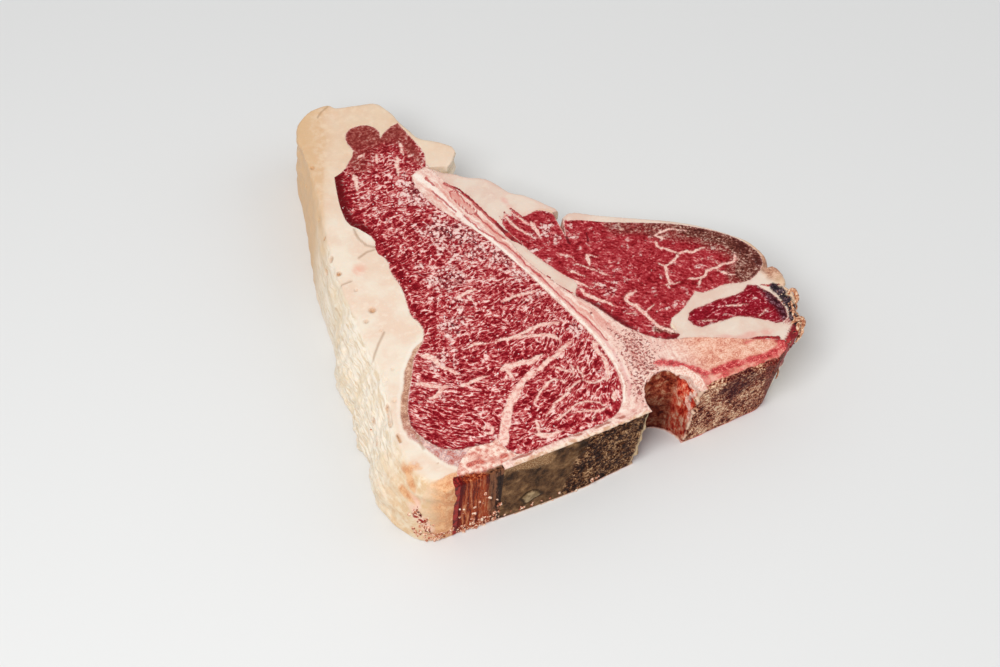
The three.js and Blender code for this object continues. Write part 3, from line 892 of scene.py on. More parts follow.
STAINS = [  # strength, width and path of the red round the canal and along the sawn edge
    (1.0, 3.6, [(4, 21.5), (6.6, 21), (9.4, 18.8), (12.3, 15.8), (14.8, 12.6), (17.6, 9.9), (19.5, 7.4)]),
    (0.6, 5.0, [(17.4, 6), (20, 5), (24, 5)]),
    (1.0, 4.6, [(23, 6.8), (29.7, 6.9), (36.6, 6.2)]),
    (0.85, 4.6, [(36.6, 6), (43, 5.2), (49.5, 4.8), (55, 6.6)]),
    (0.9, 1.4, [(43, 15), (49, 14), (54, 11.6)]),
    (0.6, 2.0, [(-10, 4.0), (-20, 4.6), (-26, 4.4)]),
]
print(len(STREAKS), "streaks and", len(STAINS), "stains")

# %% The bone's cut face
p = wander(bone, 0.45, 2.6, 131)
u, v = p.T
across, along = distance_to_path(p, DENSE_RIM)
bone.write_vectors("shaft", [across, along * RIM_LENGTH, bone.z])
marrow, _ = distance_to_path(p, [(-30.6, 148), (-29.6, 141), (-27.6, 134.5)])
streaks = most(
    *[band(p, path, width, 0.5) for width, path in STREAKS],
    0.9 * soft_step(np.abs(marrow - 1.9), 0.6, 0.1), 0.42 * soft_step(marrow, 1.8, 1.2))
speckle = 1.2 * spot(p, (-1, 27), (13, 30)) + 1.1 * spot(p, (-9.5, 12), (8, 12))
speckle += (
    0.7 * band(p, [(-9, 62), (-5.8, 50.5), (-4, 41)], 1.8, 1.0)
    + 0.3 * band(p, [(2, 40), (10, 30), (22, 26)], 5, 3))
stain = most(
    0.62 * soft_step(v, 9, 4) * soft_step(u, 12, 20), 0.9 * soft_step(u, 51, 57),
    *[strength * band(p, path, width, 2.0) for strength, width, path in STAINS])
saw_edge = soft_step(u, -76, -72) * soft_step(u, -9, -13)
broken = np.clip(0.6 + 1.2 * bone.noise(4.0, 135), 0, 1.2)
bone.write(  # dense rim, pink beside it, marrow, blood, the sawn edge and meal
    rim=soft_step(across, 0.7 + 2.4 * soft_step(v, 96, 120), 0.2),
    rose=soft_step(np.abs(across - 2.0), 1.1, 0.2) * soft_step(v, 6, 14) * soft_step(v, 150, 120),
    core=soft_step(bone.seam, 1.2, 2.6) * soft_step(v, 36, 62) * soft_step(v, 168, 150),
    streaks=np.clip(1.15 * streaks, 0, 1),
    speckle=np.clip(speckle, 0, 1),
    stain=stain,
    edge_tan=soft_step(v + 0.5 * soft_step(u, -55, -20), 1.9, 1.1) * saw_edge,
    edge_brown=0.8 * soft_step(np.abs(v - 2.9), 1.2, 0.3) * saw_edge * broken,
    peach=soft_step(u, 8, 26) * soft_step(v, 40, 26))
print("stained points on the bone:", int((stain > 0.5).sum()))

# %% The bone's sawn side
worn = soft_step(v + 0.5 * bone.noise(1.5, 133), 3.0, 1.8) * soft_step(u, 15, 18) * soft_step(bone.z, 30, 34)
edge_line = soft_step(np.abs(u + 11.0), 1.3, 0.5) * soft_step(bone.z, 35.5, 34.5)
edge_line += soft_step(np.abs(u - 13.6), 0.8, 0.3)
chip = depth_inside(np.column_stack([u, bone.z]), CHIP) * soft_step(v, 6, 4) - 5 * soft_step(v, 4, 6)
bone.write(  # the worn edge, spongy bone and its dark parts, pale lines, and the flake
    side=most(bone.side, worn),
    spongy=soft_step(u - 0.26 * (bone.z - 18) + 2.2 * bone.noise(3.2, 134), -50, -38),
    centrum=soft_step(u, 8, 14),
    purple=soft_step(np.hypot((u - 33) / 10, (bone.z - 29) / 10), 1.25, 0.5),
    maroon=soft_step(u + 0.3 * bone.z, 53, 57),
    tan_wall=soft_step(bone.z + 0.35 * (u + 70), 27, 34) * soft_step(u, -52, -60),
    edge_line=np.clip(edge_line, 0, 1),
    chip=soft_step(chip, 0, 0.5),
    chip_shadow=soft_step(np.abs(chip + 0.4), 0.9, 0.1))
print("the flake covers", int((chip > 0).sum()), "points")

# %% The lining of the canal
# Painted light and shade in the canal: the lining is painted brighter and more vivid on the side that the
# light reaches, and painted shade darkens it towards its depth.
reach = canal_reach(u, v)
face = soft_step(bone.z, 34.0, 35.2)
lining = bone.side * soft_step(reach, 1.14, 1.04) * soft_step(v, 2.2, 3.4)
bright = soft_step(u - 0.25 * (v - 8), 7.5, 10.5)
near_canal = soft_step(reach, 1.30, 1.16)
wedge = bright * near_canal * soft_step(bone.z - 0.25 * np.abs(v - 8), 30.5, 32.5) * soft_step(v, 0.5, 2.5)
rim = 0.7 * soft_step(np.abs(reach - 1.04), 0.05, 0.01) * face * soft_step(v, 2, 6)
on_face = band(p, [(8.8, 13.2), (12, 11), (13.8, 6.7), (14, 2.5)], 1.6, 1.4) * face
corner = soft_step(np.abs(u - 13.6 + 0.03 * (bone.z - 24)), 0.7, 0.2) * soft_step(bone.z, 5, 12)
bone.write(  # torn tissue, where light reaches it, its white edge and its dark depth
    lining=lining,
    lining_bright=lining * bright,
    canal_white=most(wedge, rim, on_face, 0.6 * corner * lining * bright),
    deep=lining * np.clip(soft_step(bone.z, 30, 8) * 0.8 + soft_step(v, 10, 15) * 0.35, 0, 1))
print("the lining covers", int((lining > 0.5).sum()), "points")

# %% [markdown]
# ## Marks on the ligament
#
# The ligament's sawn side dried darker towards the bone, and a maroon strip stands beside the fat.
# Blood lies on its cut face. The saw wore its upper edge away, so the side's colour reaches a little
# onto the face. A picture would have to be fitted to so small a piece; a soft step along one
# direction is enough for each of these.

# %% The back ligament
p = wander(ligament, 0.4, 2.5, 141)
u, v = p.T
z = ligament.z
worn = soft_step(v + 0.9 * ligament.noise(1.6, 143) - 2.6 * soft_step(u, -82, -97), 3.4, 2.0)
dried = soft_step(u + 0.12 * (z - 18), -82, -78)
red = 0.9 * band(p, [(-95, 9), (-88, 8), (-80, 6.5), (-75, 6)], 2.5, 2.2) + 0.5 * spot(p, (-93, 15), (8, 5))
red += 0.5 * spot(p, (-84, 11), (6, 3))
ligament.write(
    side=most(ligament.side, worn * soft_step(z, 30, 34)),
    darker=soft_step(u + 0.1 * (z - 18), -89, -79),
    black=dried * soft_step(z, 6, 12) * soft_step(z, 34, 31),
    maroon=soft_step(np.abs(ligament.places[:, 0] + 97.6), 2.2, 0.8) * soft_step(v, 7, 5),
    red_face=red * np.clip(0.75 + 1.1 * ligament.noise(2.4, 144), 0, 1.4),
    grey_face=spot(p, (-91, 17), (5, 2.6)))
print("the ligament has", len(p), "points")

# %% [markdown]
# ## Marks on the back fat
#
# The outside of the back fat is old: it has dried tan, cracked in fine lines and gathered in creases,
# and blood clotted at its front corner. Near the spine it carries the silver skin that covered the
# muscle. Stains could be left to noise, but they gather where blood ran, so each is drawn as a band
# or a spot, and noise only frays its edge.

# %% Lines on the back fat
SILVER_SKIN = [  # the outline of the muscle's silvery skin
    (-80, 76), (-86, 73), (-93, 65), (-97, 58), (-102, 50), (-105, 43), (-106.5, 37), (-106.5, 32),
    (-104.5, 28), (-102, 22), (-100, 16), (-97.5, 12), (-95, 9), (-80, 6), (-60, 14), (-60, 60),
]
HAIRLINES = [  # width and path of each fine crack
    (0.5, [(-79.5, 147.7), (-79.9, 144), (-79.8, 141.3), (-78.5, 136.5), (-75.7, 133.9), (-73, 135)]),
    (0.4, [(-98.6, 120.2), (-93, 120.3)]),
    (0.5, [(-84.5, 131.2), (-80, 132.8), (-76.3, 132.6)]),
    (0.4, [(-103, 76), (-97, 83), (-92, 88)]),
    (0.3, [(-66, 219), (-63.3, 221.3), (-59.2, 223.2)]),
    (0.5, [(-99, 40), (-103, 31), (-103.5, 24)]),
]
print(len(HAIRLINES), "hairlines")

# %% The back fat
p = wander(back_fat, 1.0, 4.5, 151)
u, v = p.T
z = back_fat.z
face = 1 - back_fat.side
past = past_roll(back_fat.places)
spread = 1 + 2.6 * soft_step(v, 90, 150)
rolled = soft_step((past + 0.5 * back_fat.noise(2.5, 152)) / spread, -1.0, 2.5)
laid = unrolled(back_fat.points, past)
back_fat.write_vectors("laid", laid.T)
# where the cords of the relief part into creases; the finish paints shade there
crease = soft_step(most(cords(laid * (1, 1, 0.85), 31), cords(laid, 11)), -0.15, -0.6)
silver = depth_inside(wander(back_fat, 0.35, 2.2, 153), SILVER_SKIN)
hairs = most(*[
    soft_step(distance_to_path(back_fat.places, path)[0], 0.4 + width, 0.3 * width)
    for width, path in HAIRLINES])
blush = 0.9 * spot(p, (-87, 125), (8, 7)) + 0.4 * spot(p, (-84, 150), (10, 12))
blush += 0.35 * spot(p, (-92, 80), (6, 9))
tan = 0.75 * soft_step(past + 1.6 * back_fat.noise(5, 156), -7, 7) * soft_step(v, 105, 180)
tan += 0.55 * soft_step(v, 135, 205)
tan += 0.5 * spot(p, (-78, 222), (9, 9))
tan += 0.25 * soft_step(np.abs(past), 2.2, 0.4) * soft_step(v, 125, 150) + 0.3 * spot(p, (-43, 219), (9, 4))
tan += 0.22 * soft_step(v, 60, 110)
tan += 0.45 * back_fat.side * soft_step(v, 60, 15) * soft_step(z, 36, 24)
back_fat.write(
    side=most(back_fat.side, rolled * soft_step(z, 28, 33)),
    calm=soft_step(v, 42, 14),
    crease=crease * most(back_fat.side, rolled) * soft_step(v, 200, 120),
    pore=pore_depth(back_fat.places, z),
    silver=face * soft_step(silver, -0.4, 0.5),
    rosy=soft_step(v, 46, 22),
    silver_line=face * soft_step(np.abs(silver + 0.9), 1.2, 0.3),
    hairline=hairs * (1 - 0.7 * back_fat.side),
    lobe=face * spot(p, (-76, 141), (5, 8)),
    blush=blush * (1 - 0.5 * back_fat.side),
    tan=tan,
    black=np.zeros(len(z)))
print("silver skin on", int((face * silver > 0).sum()), "points")

# %% Stains at the back fat's front corner
ORANGE = [  # height and path
    (34, [(-116, 23), (-113.5, 20), (-110.5, 17)]),
    (31, [(-112, 17.5), (-113.4, 15), (-114.2, 12)]),
    (25, [(-116.5, 16.5), (-115.5, 13), (-113.6, 9.5)]),
]
front = soft_step(v, 16, 8)
upright = np.column_stack([u, z])
orange = most(
    *[0.9 * soft_step(np.hypot(distance_to_path(p, path)[0], 0.8 * (z - height)), 4.2, 0.6)
      for height, path in ORANGE],
    front * soft_step(u + 0.12 * (z - 20), -107.5, -101) * soft_step(v, 7, 5),
    0.55 * front * spot(upright, (-105.5, 31), (6, 8)),
    front * soft_step(v, 9, 7) * (0.44 + 0.42 * soft_step(u, -112, -103)))
clots = front * band(upright, [(-114.6, 20.5), (-113, 16.8), (-111.6, 12.8), (-109.6, 8.6)], 3.8, 1.4)
lumps = soft_step(back_fat.noise(1.7, 155), -0.25, 0.25)
bloody = most(
    1.1 * clots * (1 - lumps),
    0.55 * front * band(upright, [(-109, 6), (-105, 4), (-100.5, 4)], 3.0, 1.6),
    1.3 * soft_step(np.abs(u + 98.0), 2.1, 1.2) * soft_step(v, 6, 4.6))
pale = most(front * band(upright, [(-113.4, 26), (-113.2, 22)], 2.0, 1.0), clots * lumps)
back_fat.write(orange=np.clip(orange, 0, 1), bloody=bloody, pale=pale)
print("clotted blood on", int((bloody > 0.5).sum()), "points")

# %% [markdown]
# ## Marks on the inner fat
#
# Two softer runs of fat lie further in: a wedge towards the tail, and the fat round the belly end.
# They blush beside the bone and hold lines of fresh blood, and the ragged tip has dried black. They
# could have a finish of their own, but the back fat's does for all three: they get every attribute
# that it reads, and 0 for each mark that isn't theirs.

# %% The inner fat
MARKS = ["silver", "silver_line", "rosy", "orange", "pore", "pale", "calm", "hairline", "lobe", "black"]
for fat in (tail, flank):
    fat.write(**{mark: np.zeros(len(fat.z)) for mark in MARKS})
    # the creases of the side, where the finish paints shade
    fat.write(crease=fat.side * soft_step(cords(fat.points, 11), -0.15, -0.6))
    fat.write_vectors("laid", fat.points.T)
    print(fat.node, "reaches", round(float(fat.seam.max())), "mm from its seams")

# %% The wedge of fat towards the tail
RED_LINE = [
    (-34.5, 161), (-33.3, 158.9), (-30.5, 154), (-26.7, 148.9), (-25.1, 141.5), (-23.9, 134.6),
    (-23.3, 128.9), (-21.8, 123.9), (-20.9, 117.7), (-18.6, 112), (-16.1, 108.1),
]
p = wander(tail, 0.6, 3.0, 161)
distance, along = distance_to_path(p, RED_LINE)
broken = np.clip(0.75 + 1.3 * tail.noise(2.2, 162), 0, 1)
foot = [(-15.4, 86), (-13.8, 80.5), (-12.4, 76.5), (-10.6, 73), (-9, 70.5)]
bloody = most(
    soft_step(distance, 0.7 + 1.3 * along, 0.2 + 0.8 * along),
    band(p, [(-12, 128.8), (-10.8, 124.3), (-9, 118.8)], 1.0, 0.5),
    band(p, [(-15.2, 128), (-15.4, 124), (-14.9, 121)], 1.0, 0.5),
    0.6 * band(p, [(-18.5, 127), (-17.6, 119), (-15.4, 111)], 0.9, 0.6),
    broken * band(p, foot, 1.1, 0.7))
dried_line = [(-8.7, 119.4), (-3.8, 122.4), (0.3, 121.5), (3.4, 118.4), (4.7, 114.3)]
tail.write(
    bloody=bloody,
    blush=0.8 * spot(p, (-11.7, 134), (4, 6)) + 0.5 * soft_step(tail.seam, 4, 0.5),
    tan=0.9 * band(p, dried_line, 1.2, 0.8))
print("blood on", int((bloody > 0.5).sum()), "points of the wedge")

# %% The fat at the belly end
p = wander(flank, 0.6, 3.0, 171)
u, v = p.T
bloody = band(p, [(43, 15.6), (48.2, 14.8), (51.1, 13.9), (54.7, 12.5), (57, 11)], 1.8, 0.9)
bloody += 0.95 * soft_step(v - 0.55 * (u - 60), 12, 7) * soft_step(u, 55, 58)
bloody += 0.62 * soft_step(u + 0.3 * (v - 12) + 1.5 * flank.noise(3, 172), 55, 69) * soft_step(v, 25, 17)
bloody += 0.8 * band(p, [(65, 40.2), (68.2, 38.2), (72, 37)], 1.4, 0.7)
fading = 0.25 + 0.75 * soft_step(flank.z + 7 * flank.noise(7, 174), 10, 26)
near_bone = band(p, [(28, 24), (40, 20.5), (52, 17), (62, 15)], 5, 3)
near_bone = near_bone * np.clip(0.5 + flank.noise(3.2, 173), 0, 1)
dry_cap = soft_step(u + 0.2 * (v - 45), 67.5, 71.5) * soft_step(v, 38, 43) * soft_step(v, 66, 50)
dried_black = [(70, 36.5), (70.8, 32), (70.8, 27), (69.6, 21), (68.2, 15)]
flank.write(
    bloody=np.clip(bloody, 0, 1) * fading,
    blush=0.6 * near_bone + 0.5 * spot(p, (50, 17), (14, 6)) + 0.4 * soft_step(flank.seam, 2.5, 0.4),
    tan=soft_step(u, 66, 74),
    silver=dry_cap * fading,
    black=0.85 * fading * band(p, dried_black, 5.0, 2.4))
print("dried black on", int((fading * band(p, dried_black, 5.0, 2.4) > 0.5).sum()), "points")

# %% [markdown]
# ## Writing shaders as sums
#
# A shader is a net of small nodes. Written node by node it is long and hard to read, so one small
# class stands for a node's output and knows what plus, minus and times mean: an expression on such
# signals adds the Math nodes by itself. Colours are blended by Mix nodes.

# %% Adding a node
def add_node(tree, kind, settings, sockets):
    """Adds a node to a tree: its settings first, then values or links for its sockets."""
    made = tree.nodes.new(kind)
    for key, value in (settings or {}).items():
        setattr(made, key, value)
    for key, value in (sockets or {}).items():
        target = made.inputs[key] if isinstance(key, int) else next(
            s for s in made.inputs if key in (s.identifier, s.name))
        if isinstance(value, bpy.types.NodeSocket):
            tree.links.new(value, target)
        else:
            target.default_value = value
    return made


# %% Signals
class Signal:
    """One output of a shader node. Arithmetic on signals adds Math nodes to the same finish."""

    def __init__(self, finish, socket):
        self.finish = finish
        self.socket = socket

    def math(self, operation, first, second):
        return self.finish.node("ShaderNodeMath", {"operation": operation}, {0: first, 1: second})

    def __add__(self, other):
        return self.math("ADD", self, other)

    def __sub__(self, other):
        return self.math("SUBTRACT", self, other)

    def __rsub__(self, other):
        return self.math("SUBTRACT", other, self)

    def __mul__(self, other):
        return self.math("MULTIPLY", self, other)

    def most(self, other):
        return self.math("MAXIMUM", self, other)

    __radd__ = __add__
    __rmul__ = __mul__


# %% Finishes
class Finish:
    """A material and its shader tree."""

    def __init__(self, name):
        self.material = bpy.data.materials.new(name)
        self.material.use_nodes = True
        self.tree = self.material.node_tree
        self.tree.nodes.clear()
        where = self.node("ShaderNodeTexCoord", output="Object")
        self.place = self.scaled(where, (1 / MM,) * 3)

    def node(self, kind, settings=None, sockets=None, output=0):
        plain = {key: getattr(value, "socket", value) for key, value in (sockets or {}).items()}
        return Signal(self, add_node(self.tree, kind, settings, plain).outputs[output])

    def scaled(self, vector, factors):
        return self.node("ShaderNodeVectorMath", {"operation": "MULTIPLY"}, {0: vector, 1: factors})

    def at(self, per_mm):
        """The place in space, in cells of noise: so many for each millimetre."""
        return self.scaled(self.place, (per_mm,) * 3)

    def attribute(self, name, output="Fac"):
        return self.node("ShaderNodeAttribute", {"attribute_name": name}, output=output)

    def noise(self, vector, detail=2.0, roughness=0.5, distortion=0.0):
        return self.node("ShaderNodeTexNoise", {}, {
            "Vector": vector, "Scale": 1.0, "Detail": detail, "Roughness": roughness,
            "Distortion": distortion})

    def warped(self, vector, per_mm, reach):
        """The vector, moved about by noise: how fast it changes, and how far it reaches."""
        wander = self.node("ShaderNodeTexNoise", {}, {
            "Vector": self.scaled(vector, (per_mm,) * 3), "Scale": 1.0, "Detail": 2.0}, output="Color")
        away = self.node("ShaderNodeVectorMath", {"operation": "SUBTRACT"}, {0: wander, 1: (0.5, 0.5, 0.5)})
        away = self.scaled(away, (2 * reach,) * 3)
        return self.node("ShaderNodeVectorMath", {"operation": "ADD"}, {0: vector, 1: away})

    def cells(self, vector, feature="F1"):
        return self.node("ShaderNodeTexVoronoi", {"feature": feature}, {"Vector": vector, "Scale": 1.0})

    def step(self, value, low, high):
        return self.node("ShaderNodeMapRange", {"interpolation_type": "SMOOTHSTEP"}, {
            "Value": value, "From Min": low, "From Max": high})

    def mix(self, factor, first, second):
        return self.node("ShaderNodeMix", {"data_type": "RGBA"}, {
            "Factor_Float": factor, "A_Color": first, "B_Color": second}, output=2)

    def mark(self, name, raggedness, noise, low, high):
        """A step over an attribute, with an edge made ragged by noise."""
        return self.step(self.attribute(name) + raggedness * (noise - 0.5), low, high)

    def between(self, value, low, high, first, second):
        """The first colour below low, the second above high."""
        return self.mix(self.step(value, low, high), first, second)

    def ramp(self, value, low, high, colours):
        """Passes evenly through the colours as the value goes from low to high."""
        colour, stride = colours[0], (high - low) / (len(colours) - 1)
        for number, after in enumerate(colours[1:]):
            share = self.node("ShaderNodeMapRange", {}, {
                "Value": value, "From Min": low + number * stride, "From Max": low + (number + 1) * stride})
            colour = self.mix(share, colour, after)
        return colour

    def bump(self, height, distance, strength=1.0, under=None):
        sockets = {"Height": height, "Distance": distance * MM, "Strength": strength}
        if under is not None:
            sockets["Normal"] = under
        return self.node("ShaderNodeBump", {}, sockets)

    def surface(self, **sockets):
        """Ends the tree in one shader; a name's underscores stand for blanks."""
        named = {key.replace("_", " "): value for key, value in sockets.items()}
        shader = self.node("ShaderNodeBsdfPrincipled", {}, named)
        end = self.tree.nodes.new("ShaderNodeOutputMaterial")
        self.tree.links.new(shader.socket, end.inputs["Surface"])
        return self.material


# %% Colours
def ink(red, green, blue):
    """A colour from its three bytes, made linear."""
    channels = [c / 255 for c in (red, green, blue)]
    linear = [c / 12.92 if c <= 0.04045 else ((c + 0.055) / 1.055) ** 2.4 for c in channels]
    return (*linear, 1.0)


print("middle grey made linear:", [round(n, 3) for n in ink(128, 128, 128)])

# %% [markdown]
# ## Lean meat
#
# Lean meat is crimson where it was just cut and browner where it dried. Its bundles show as short
# strokes along the grain, and white fat lies between them as threads and flecks. The surface is
# moist, so it has a thin gloss over it, and every fleck of fat stands a little proud. A picture
# wrapped round the muscle would smear down its sides. So the colour is worked out from noise in
# space, stretched along the grain, and one function makes all three muscles.

# %% Lean meat
VEIN_PINK = ink(226, 158, 146)
VEIN_WHITE = ink(246, 212, 196)
FROSTED = [ink(92, 4, 18), ink(136, 24, 34), ink(184, 92, 90), ink(226, 176, 168), ink(246, 214, 204)]


def lean_meat(name, tones, brown, shaded, low, high, fineness=1.0, stretch=2.1, threads=0.12):
    f = Finish(name)
    grain = f.warped(f.warped(f.attribute("grain", "Vector"), 0.06, 5.0), 0.30, 0.9)
    vein, frost, dried, shade = (f.attribute(n) for n in ("vein", "frost", "brown", "shade"))
    # the bundles of fibres, the threads of fat between them, and crumbs of fat over both
    across = fineness * stretch
    bundle_edge = f.cells(f.scaled(grain, (0.26 * fineness, 0.26 * across, 0.2)), "DISTANCE_TO_EDGE")
    strands = f.noise(f.scaled(grain, (0.35 * fineness, 0.35 * across, 0.4)), 3, 0.60)
    crumbs = f.noise(f.at(0.72 * fineness), 3, 0.64)
    blotches = f.noise(f.at(0.11), 3, 0.6)
    clumps = f.noise(f.at(0.27), 3, 0.6, 0.3)
    ragged = f.noise(f.at(0.62), 5, 0.72)
    breaks = f.noise(f.scaled(grain, (0.30, 0.45, 0.3)), 3, 0.62)
    thread = f.step(bundle_edge - 0.5 * (breaks - 0.5), 0.12, -0.02)
    tone = 0.56 * strands + 0.44 * crumbs + threads * (thread - 0.25)
    tone = tone + 0.10 * (frost - 0.35) + 0.16 * (blotches - 0.5) + 0.20 * (clumps - 0.5)
    tone = tone + 0.06 * f.step(vein + 3.0 * (ragged - 0.5), 0.55, -0.35)
    colour = f.ramp(tone, low, high, tones)
    # fine marbling, dried brown and the shade along the seams
    frosty = f.step(frost + 0.8 * (blotches - 0.5) + 1.8 * (clumps - 0.5), 0.48, 0.80)
    granules = 0.5 - 0.30 * (f.cells(f.at(0.60)) - 0.47) + 0.70 * (crumbs - 0.5) + 0.6 * (clumps - 0.5)
    colour = f.mix(0.92 * frosty, colour, f.ramp(granules, 0.40, 0.60, FROSTED))
    dry = f.step(dried + 0.7 * (blotches - 0.5) + 0.6 * (strands - 0.5), 0.20, 0.90)
    dry_tone = 0.5 * tone + 0.5 * crumbs - 0.14 * f.step(dried, 1.0, 1.6)
    colour = f.mix(0.9 * dry, colour, f.ramp(dry_tone, 0.40, 0.64, brown))
    dim = f.step(shade + 1.4 * (crumbs - 0.5) + 0.7 * (strands - 0.5), 0.30, 0.85)
    colour = f.mix(0.9 * dim, colour, shaded)
    # veins of fat, with a pink halo
    fat = f.step(vein + 2.2 * (ragged - 0.5), 0.15, -0.17)
    halo = f.step(vein + 3.0 * (ragged - 0.5), 0.8, 0.0)
    colour = f.mix(0.17 * halo, colour, VEIN_PINK)
    colour = f.mix(0.94 * fat, colour, f.between(
        crumbs + 0.3 * (ragged - 0.5), 0.36, 0.58, VEIN_PINK, VEIN_WHITE))
    raised = f.step(tone, 0.5, 0.7).most(fat)
    fine = f.noise(f.at(2.4), 3, 0.6)
    bump = f.bump(fine, 0.16, 0.5, f.bump(crumbs, 0.4, 0.5, f.bump(raised, 0.22, 0.6)))
    return f.surface(
        Base_Color=colour, Roughness=0.40 + 0.16 * raised + 0.2 * dried, Normal=bump,
        Coat_Weight=0.10, Coat_Roughness=0.12, Specular_IOR_Level=0.06,
        Subsurface_Weight=0.05, Subsurface_Radius=(1.0, 0.25, 0.15), Subsurface_Scale=0.001)


# %% The three muscles
strip.material = lean_meat(
    "strip_lean", [
        ink(112, 0, 12), ink(142, 10, 26), ink(164, 40, 48), ink(196, 88, 88), ink(232, 158, 150),
        ink(250, 210, 200)],
    brown=(ink(124, 40, 36), ink(154, 74, 64), ink(196, 132, 120)), shaded=ink(92, 2, 6),
    low=0.385, high=0.625)
tenderloin.material = lean_meat(
    "tenderloin_lean", [
        ink(114, 2, 12), ink(140, 16, 26), ink(158, 34, 42), ink(176, 54, 60), ink(194, 78, 82),
        ink(236, 150, 144)],
    brown=(ink(58, 26, 18), ink(118, 64, 52), ink(214, 180, 160)), shaded=ink(96, 4, 14),
    low=0.375, high=0.64, fineness=1.4, stretch=1.3, threads=0.06)
side_muscle.material = lean_meat(
    "side_lean", [
        ink(112, 0, 14), ink(132, 2, 22), ink(142, 14, 32), ink(162, 38, 52), ink(196, 84, 92),
        ink(242, 176, 172)],
    brown=(ink(16, 6, 14), ink(62, 20, 30), ink(150, 110, 120)), shaded=ink(100, 4, 12),
    low=0.40, high=0.665, fineness=1.3, stretch=2.2, threads=0.12)
print("finishes:", strip.material.name, tenderloin.material.name, side_muscle.material.name)

# %% [markdown]
# ## Fat
#
# Firm beef fat is cream outside and paler where the knife went through it. Its cut face is mottled
# and blushes near the bone; its old outside is drawn in layers along the animal, with painted shade in
# the creases. One finish could be painted on, but then each run of fat would need its own picture.
# Here one function makes the finish of all three runs: it builds the face, then the side, lets the
# attribute "side" pass from one to the other, and lays the marks over both.

# %% The face and the side of fat
def fat_face(f, pink, fresh, broad, mottle):
    face = f.between(broad + 0.4 * mottle, 0.55, 0.85, *fresh)
    tan = f.between(mottle, 0.36, 0.64, ink(222, 184, 146), ink(232, 202, 170))
    face = f.mix(f.mark("tan", 0.5, mottle, 0.1, 1.2), face, tan)
    return f.mix(0.7 * f.mark("blush", 0.5, mottle, 0.25, 1.0), face, pink)


def fat_side(f, broad, mottle, layers):
    calm, crease = f.attribute("calm"), f.attribute("crease")
    side = f.between(layers, 0.36, 0.56, ink(222, 200, 170), ink(244, 232, 214))
    smooth = f.between(mottle, 0.36, 0.62, ink(224, 184, 136), ink(240, 218, 186))
    side = f.mix(0.85 * calm, side, smooth)
    side = f.mix(0.6 * f.step(broad + 0.6 * (mottle - 0.5), 0.50, 0.66), side, ink(232, 208, 172))
    # painted shade: the creases between the cords are darkened
    deep = f.step(crease + 0.9 * (mottle - 0.5) - 0.5 * calm, 0.3, 0.9)
    side = f.mix(0.55 * deep, side, ink(196, 158, 116))
    return f.mix(f.mark("tan", 0.6, layers, 0.2, 1.2), side, ink(220, 182, 140))


# %% Marks on fat
DRIED = [ink(12, 5, 8), ink(24, 12, 18), ink(72, 44, 56), ink(140, 116, 116), ink(206, 186, 170)]
SILVER_SKIN_TONES = [ink(144, 80, 58), ink(188, 132, 104), ink(226, 184, 156)]
ROSY_TONES = [ink(160, 54, 48), ink(206, 128, 116), ink(190, 156, 156), ink(238, 196, 182)]


def silvery(f, colour, mottle, grains):
    """The muscle's silver skin, the lobe beside it and the fine cracks, laid over a colour."""
    skin_tone = f.ramp(0.5 * mottle + 0.5 * grains, 0.40, 0.60, SILVER_SKIN_TONES)
    rosy = f.ramp(0.6 * mottle + 0.4 * grains, 0.40, 0.58, ROSY_TONES)
    skin_tone = f.mix(f.attribute("rosy"), skin_tone, rosy)
    colour = f.mix(0.92 * f.attribute("silver"), colour, skin_tone)
    colour = f.mix(0.35 * f.attribute("silver_line"), colour, ink(246, 238, 226))
    colour = f.mix(0.6 * f.attribute("lobe"), colour, ink(244, 236, 222))
    return f.mix(0.6 * f.attribute("hairline"), colour, ink(166, 128, 96))


def stained(f, colour, mottle, grains, reds):
    """Orange stains, pores, blood and dried black patches, laid over a colour."""
    warm = f.between(0.6 * mottle + 0.4 * grains, 0.42, 0.58, ink(206, 116, 56), ink(234, 178, 126))
    colour = f.mix(0.85 * f.mark("orange", 1.7, mottle, 0.25, 0.95), colour, warm)
    pore = f.between(grains, 0.4, 0.6, ink(150, 90, 44), ink(212, 146, 84))
    colour = f.mix(f.attribute("pore"), colour, pore)
    colour = f.mix(0.9 * f.attribute("pale"), colour, ink(246, 204, 184))
    blood = f.between(mottle + 0.5 * (grains - 0.5), 0.42, 0.58, *reds)
    colour = f.mix(f.mark("bloody", 1.1, grains, 0.35, 0.7), colour, blood)
    black = f.ramp(0.6 * mottle + 0.4 * grains, 0.42, 0.66, DRIED)
    return f.mix(f.mark("black", 1.4, mottle, 0.35, 0.7), colour, black)


# %% The three runs of fat
def firm_fat(name, fresh, reds, light=ink(248, 238, 222), pink=ink(236, 172, 148)):
    f = Finish(name)
    side, tan = f.attribute("side"), f.attribute("tan")
    laid = f.warped(f.attribute("laid", "Vector"), 0.16, 2.6)
    broad = f.noise(f.at(0.07), 3)
    mottle = f.noise(f.at(0.30), 5, 0.62)
    layers = f.noise(f.scaled(laid, (0.10, 0.10, 0.70)), 5, 0.62)
    grains = f.noise(f.at(1.6), 3, 0.65)
    colour = f.mix(side, fat_face(f, pink, fresh, broad, mottle), fat_side(f, broad, mottle, layers))
    # painted highlight: pale patches in the light colour where the mottle is high, fewer on the tanned parts
    colour = f.mix(0.4 * f.step(mottle, 0.5, 0.72) * (1 - 0.8 * f.step(tan, 0.1, 0.8)), colour, light)
    colour = silvery(f, colour, mottle, grains)
    colour = stained(f, colour, mottle, grains, reds)
    bump = f.bump(grains, 0.2, 0.4, f.bump(layers, 0.45, 0.5 * side, f.bump(mottle, 0.3, 0.4)))
    return f.surface(
        Base_Color=colour, Roughness=0.44 + 0.15 * mottle, Normal=bump,
        Coat_Weight=0.06, Coat_Roughness=0.25, Specular_IOR_Level=0.2,
        Subsurface_Weight=0.10, Subsurface_Radius=(1.0, 0.6, 0.4), Subsurface_Scale=0.0016)


